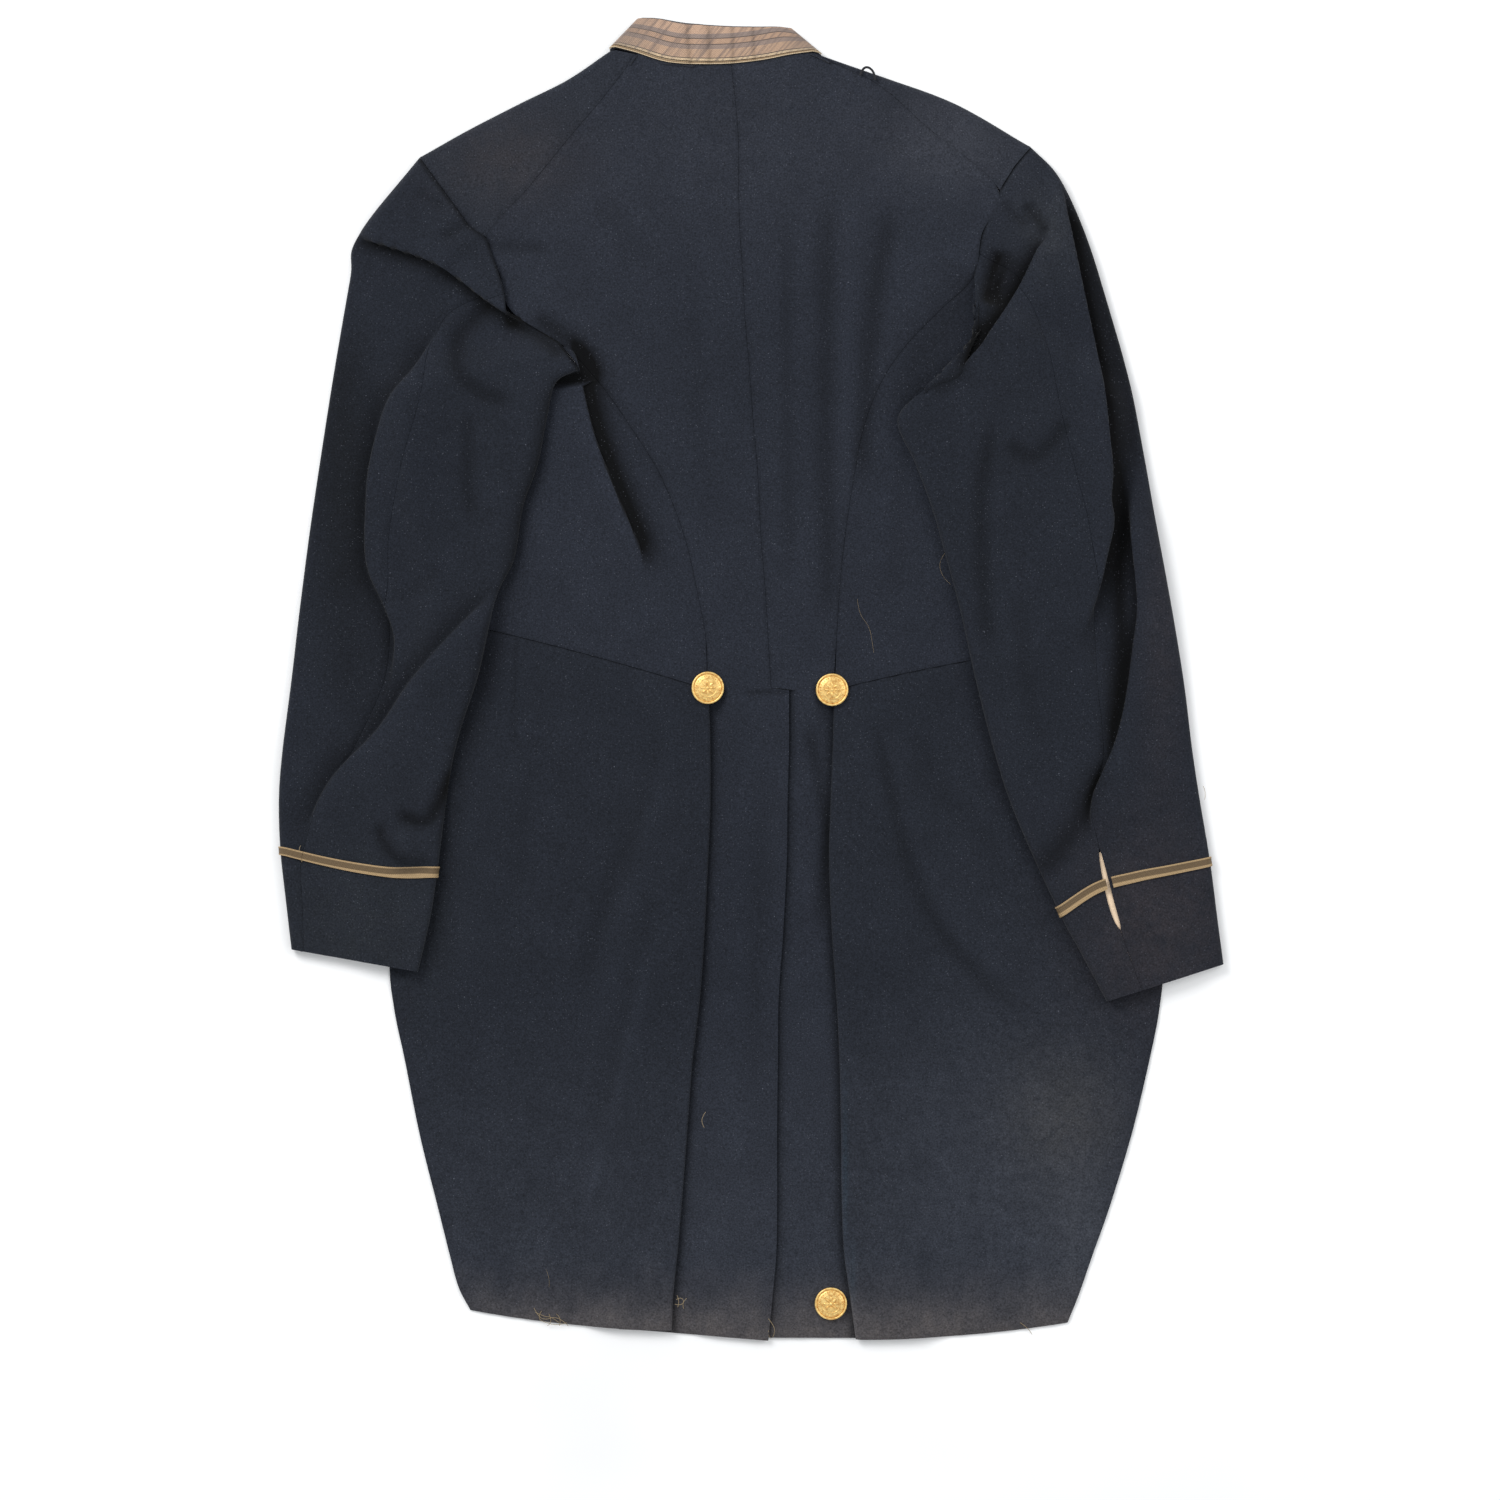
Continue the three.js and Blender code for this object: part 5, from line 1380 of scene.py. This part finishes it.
class Paint:
    """A material under construction."""

    def __init__(self, name, **surface):
        self.material = bpy.data.materials.new(name)
        self.material.use_nodes = True
        self.tree = self.material.node_tree
        self.surface = self.tree.nodes["Principled BSDF"]
        for socket, value in surface.items():
            self.surface.inputs[socket.replace("_", " ")].default_value = value

    def put(self, socket, value):
        if isinstance(value, Value):
            self.tree.links.new(value.socket, socket)
        else:
            socket.default_value = value

    def node(self, kind, sockets=None, out=0, **settings):
        """Makes a node of a kind, with its settings and its sockets, and gives one of its results."""
        made = self.tree.nodes.new(kind)
        for name, value in settings.items():
            setattr(made, name, value)
        for name, value in (sockets or {}).items():
            self.put(made.inputs[name], value)
        return Value(self, made.outputs[out])

    def math(self, operation, *values, **settings):
        return self.node("ShaderNodeMath", dict(enumerate(values)), operation=operation, **settings)

    def mix(self, factor, first, second):
        return self.node("ShaderNodeMix", {0: factor, 6: first, 7: second}, 2, data_type="RGBA")

    def darker(self, colour, factor):
        """A colour times a varying number."""
        grey = self.node("ShaderNodeCombineColor", {0: factor, 1: factor, 2: factor})
        sockets = {0: 1.0, 6: colour, 7: grey}
        return self.node("ShaderNodeMix", sockets, 2, data_type="RGBA", blend_type="MULTIPLY")

    def noise(self, places, scale, detail=2.0):
        return self.node("ShaderNodeTexNoise", {"Vector": places, "Scale": scale, "Detail": detail})

    def places(self):
        return self.node("ShaderNodeTexCoord", out="Object")

    def split(self, vector):
        """The parts of a vector in metres, as millimetres."""
        node = self.tree.nodes.new("ShaderNodeSeparateXYZ")
        self.tree.links.new(vector.socket, node.inputs[0])
        return [Value(self, out) * 1000 for out in node.outputs]

    def shade(self):
        """The shade painted into hollows and along seams, from the attribute that goes with the cloth."""
        return self.node("ShaderNodeAttribute", out="Fac", attribute_name="shade")

    def finish(self, colour, bump=None, bump_height=0.0002, strength=0.5):
        self.put(self.surface.inputs["Base Color"], colour)
        if bump is not None:
            sockets = {"Height": bump, "Distance": bump_height, "Strength": strength}
            self.put(self.surface.inputs["Normal"], self.node("ShaderNodeBump", sockets))
        return self.material


print("a mid grey in linear light:", round(linear(128, 128, 128)[0], 3))

# %% [markdown]
# ## Old navy wool
# The cloth is a fulled wool: its fibres are felted into a fine even nap, so it has no visible weave and
# hardly shines. It has faded unevenly. The shoulders and the hems went brown, the right cuff purplish, and
# one skirt has a stain. Each such place is a soft spot of its own colour, and one dark spot on the left
# sleeve's low outer strip is painted shade. On top come painted shade from the folds and seams, mottling,
# grain and pale lint. A patch is a place, its reach across and along, its colour and its strength.

# %% The wool, with its faded places
PATCHES = [
    (-160, 352, 45, 30, (62, 58, 60), 0.6),
    (130, 372, 50, 30, (56, 56, 62), 0.5),
    (0, 380, 150, 80, (54, 57, 66), 0.7),
    (135, 358, 36, 28, (66, 69, 78), 0.7),
    (202, 303, 22, 30, (62, 65, 70), 0.45),
    (-216, 135, 30, 70, (30, 34, 43), 0.7),
    # Painted shade in the low outer strip of the left sleeve.
    (-276, 135, 16, 90, (30, 33, 38), 0.6),
    (170, -335, 85, 120, (66, 70, 80), 0.55),
    (-18, 190, 70, 90, (37, 41, 50), 0.6),
    (-8, -150, 24, 110, (33, 37, 46), 0.7),
    (212, -300, 38, 42, (80, 79, 79), 0.6),
    (222, -375, 28, 40, (84, 87, 94), 0.6),
    (272, -165, 52, 62, (57, 54, 59), 0.9),
    (278, 25, 14, 100, (56, 54, 60), 0.6),
    (-265, -165, 55, 55, (46, 50, 55), 0.6),
    (64, -335, 2, 48, (38, 54, 66), 0.8),
    (69, -415, 2.4, 32, (40, 56, 68), 0.9),
]
HEM_COLOUR, HEM_START, HEM_LENGTH, HEM_UNEVEN = (92, 88, 89), -386, 54, 30
FADED_COLOUR, FADED_START, FADED_LENGTH = (66, 70, 80), -215, 185
DYE = 0.66
DEEPEST = 0.93
LINT = [(120, 0.06, 0.3), (330, 0.14, 0.2), (620, 0.24, 0.16)]
LINT_COLOUR = (132, 136, 148)


def toned(colour):
    """A tone as it looks in daylight, made darker by the share that this light brightens it."""
    return (*(v * DYE for v in linear(*colour)[:3]), 1)


def wool(name, colour):
    paint = Paint(name, Roughness=0.95, Specular_IOR_Level=0.15, Sheen_Weight=0.06, Sheen_Roughness=0.5)
    places = paint.places()
    x, y, _ = paint.split(places)
    mottle = paint.noise(places, 9.0, 3.0)
    cloud = paint.noise(places, 38.0, 3.0)
    fleck = paint.noise(places, 150.0, 4.0)
    grain = paint.noise(places, 900.0, 2.0)
    tone = paint.mix((mottle - 0.35) * 0.6, toned(colour), toned(tuple(v + 7 for v in colour)))
    for place_x, place_y, wide, high, patch, strength in PATCHES:
        dx, dy = (x - place_x) / wide, (y - place_y) / high
        spot = paint.math("EXPONENT", -(dx * dx + dy * dy))
        broken = (0.4 * mottle + 1.8 * fleck - 0.3).clamped()
        tone = paint.mix(spot * strength * broken, tone, toned(patch))
    faded = (FADED_START - y).above(0, FADED_LENGTH)
    tone = paint.mix(faded * (0.15 + 0.55 * fleck), tone, toned(FADED_COLOUR))
    hem = (HEM_START - y + (cloud - 0.5) * HEM_UNEVEN).above(0, HEM_LENGTH)
    tone = paint.mix((hem * hem * (0.5 + 0.9 * fleck)).clamped(), tone, toned(HEM_COLOUR))
    # The shade attribute paints shade into hollows and along seams, and a highlight where it is below zero.
    light = 1 - DEEPEST * paint.math("MINIMUM", paint.shade(), 1.0)
    tone = paint.darker(tone, light * (0.82 + 0.36 * cloud) * (0.1 + 1.8 * grain))
    for scale, reach, amount in LINT:
        lint = paint.tree.nodes.new("ShaderNodeTexVoronoi")
        lint.inputs["Scale"].default_value = scale
        paint.tree.links.new(places.socket, lint.inputs["Vector"])
        pick = paint.node("ShaderNodeSeparateColor", {0: Value(paint, lint.outputs["Color"])})
        near = 1 - Value(paint, lint.outputs["Distance"]).above(reach / 2, reach)
        seen = near * pick.above(0.5, 0.9) * (cloud * 2 * amount)
        tone = paint.mix(seen, tone, linear(*LINT_COLOUR))
    nap = paint.noise(places, 420.0, 4.0)
    return paint.finish(tone, nap + 0.5 * grain, 0.0004, 0.35)


CLOTH_TONES = {
    "back": (43, 47, 57), "side_body": (42, 46, 56), "front": (43, 47, 56), "skirt": (37, 41, 50),
    "sleeve": (36, 40, 49), "collar": (34, 37, 44),
}
wool_finishes = {kind: wool(f"wool_{kind}", colour) for kind, colour in CLOTH_TONES.items()}
print("wool finishes:", ", ".join(wool_finishes))

# %% [markdown]
# ## Lace, braid, gilt and lining
# The lace is woven in bands along the collar, with a fine rib across them, and its gilding has turned grey
# in blotches and at both ends. Its bands are a colour ramp over the distance from the collar's seam. The cuff
# braid has a pale rib at each edge. The gilt is a soft, worn metal, so it stays rough and a little brown.

# %% Lace and braid
LACE_BANDS = [
    (0.0, (196, 172, 140)), (1.4, (70, 62, 58)), (2.0, (172, 143, 120)), (8.0, (140, 122, 112)),
    (11.0, (84, 74, 68)), (11.6, (168, 138, 116)), (15.0, (84, 74, 68)), (15.6, (136, 120, 112)),
    (18.5, (178, 148, 126)), (25.0, (136, 120, 110)),
]
LACE_HEIGHT = 29.7
LEFT_END, RIGHT_END = (62, 86), (20, 42)


def banded(paint, value, bands):
    """Colours by steps of a value, from a table of where each begins."""
    node = paint.tree.nodes.new("ShaderNodeValToRGB")
    node.color_ramp.interpolation = "CONSTANT"
    for _ in bands[2:]:
        node.color_ramp.elements.new(0.5)
    for element, (start, colour) in zip(node.color_ramp.elements, bands):
        element.position = start / LACE_HEIGHT
        element.color = linear(*colour)
    paint.put(node.inputs[0], value / LACE_HEIGHT)
    return Value(paint, node.outputs[0])


def gold_lace():
    paint = Paint("gold_lace", Roughness=0.62, Metallic=0.15, Specular_IOR_Level=0.4)
    uv = paint.node("ShaderNodeUVMap")
    u, v, _ = paint.split(uv)
    bands = banded(paint, v, LACE_BANDS)
    rib = paint.math("SINE", u * (math.tau / 1.1))
    fine = paint.math("SINE", v * (math.tau / 0.9))
    stretched = paint.node("ShaderNodeMapping", {"Vector": uv, "Scale": (300.0, 26.0, 1.0)})
    blotch = paint.noise(stretched, 1.0, 3.0)
    tone = paint.mix(blotch.above(0.46, 0.64) * 0.7, bands, linear(112, 98, 92))
    x, _, _ = paint.split(paint.places())
    turned = (-x).above(*LEFT_END) + x.above(*RIGHT_END)
    tone = paint.mix(turned * 0.55, tone, linear(112, 102, 96))
    # Painted shade from the collar's creases carries onto the lace.
    light = (1 - 0.7 * paint.shade()) * (1.12 + 0.18 * rib + 0.06 * fine)
    return paint.finish(paint.darker(tone, light), rib + 0.4 * fine, 0.0003, 0.6)


def braid(name, edge, middle, width, rim):
    paint = Paint(name, Roughness=0.6, Metallic=0.2, Specular_IOR_Level=0.4)
    u, v, _ = paint.split(paint.node("ShaderNodeUVMap"))
    off = paint.math("ABSOLUTE", v - width / 2)
    twist = paint.math("SINE", (u + v) * (math.tau / 1.3))
    line = paint.math("SINE", v * (math.tau / 0.8))
    tone = paint.mix(off.above(width / 2 - rim, width / 2 - rim + 0.3), linear(*middle), linear(*edge))
    # Painted shade from the folds beneath carries onto the braid.
    light = (1 - 0.8 * paint.shade()) * (0.88 + 0.14 * twist + 0.2 * line)
    return paint.finish(paint.darker(tone, light), twist + line, 0.0002, 0.6)


lace_finish = gold_lace()
cuff_finish = braid("cuff_braid", (182, 154, 114), (112, 92, 66), CUFF_BRAID, 1.2)
neck_finish = braid("neck_braid", (214, 192, 158), (150, 124, 94), NECK_BRAID_WIDTH, 0.6)

# %% Gilt, lining, cord and thread
def gilt():
    paint = Paint("gilt", Roughness=0.38, Metallic=0.6, Specular_IOR_Level=0.5)
    places = paint.places()
    wear = paint.noise(places, 500.0, 3.0)
    tone = paint.mix(wear.above(0.4, 0.7), linear(246, 212, 136), linear(208, 156, 84))
    return paint.finish(tone, wear, 0.0001, 0.3)


def plain(name, colour, scale=900.0, **surface):
    paint = Paint(name, **surface)
    grain = paint.noise(paint.places(), scale, 3.0)
    return paint.finish(paint.darker(linear(*colour), 0.8 + 0.4 * grain), grain, 0.0002, 0.4)


gilt_finish = gilt()
lining_finish = plain("lining", (232, 206, 176), Roughness=0.9)
cord_finish = plain("cord", (28, 28, 32), Roughness=0.9)
thread_finish = plain("thread", (150, 132, 102), Roughness=0.85)
paper_finish = plain("paper", (250, 250, 250), 3.0, Roughness=0.9)
print("materials:", len(bpy.data.materials))

# %% [markdown]
# ## Putting it together
# Every piece rides on the coat's one body and takes the place of the model's plain panel. Cloth notes how
# big its cut is. The surface under the coat belongs
# to the photograph and not to the coat.

# %% Each piece takes its panel's place
bpy.ops.mesh.primitive_plane_add(size=8, location=(0, 0, -LAYER * MM))
surface = bpy.context.object
surface.name = "surface"
surface.data.materials.append(paper_finish)


def dress(piece, node, slot, finish):
    piece.data.materials.append(finish)
    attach(piece, "root")
    if node:
        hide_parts(node)
    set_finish(piece, slot)


trims = {
    "collar_lace": ("gold_lace", lace_finish), "neck_braid": ("braid", neck_finish),
    "cuff_braid": ("braid", cuff_finish), "cuff_lining": ("lining", lining_finish),
}
for name, piece in cloth.items():
    node = name.rsplit("_", 1)[0]
    trim = next((value for key, value in trims.items() if name.startswith(key)), None)
    if trim:
        dress(piece, node, *trim)
        continue
    kind = next(key for key in wool_finishes if name.startswith(key))
    dress(piece, node, "wool", wool_finishes[kind])
    on_it = [cloth["collar_lace_trim"], cloth["neck_braid_trim"]] if kind == "collar" else []
    if kind == "sleeve":
        on_it = [cloth[name.replace("sleeve", "cuff_braid").replace("_cloth", "_trim")]]
    min(piece["area"], piece["width"] * piece["length"])
for name in BUTTONS:
    dress(bpy.data.objects[name + "_face"], name, "gilt", gilt_finish)
dress(loop, "shoulder_loop_right", "cord", cord_finish)
for piece in (threads, hairs):
    dress(piece, None, "braid", thread_finish)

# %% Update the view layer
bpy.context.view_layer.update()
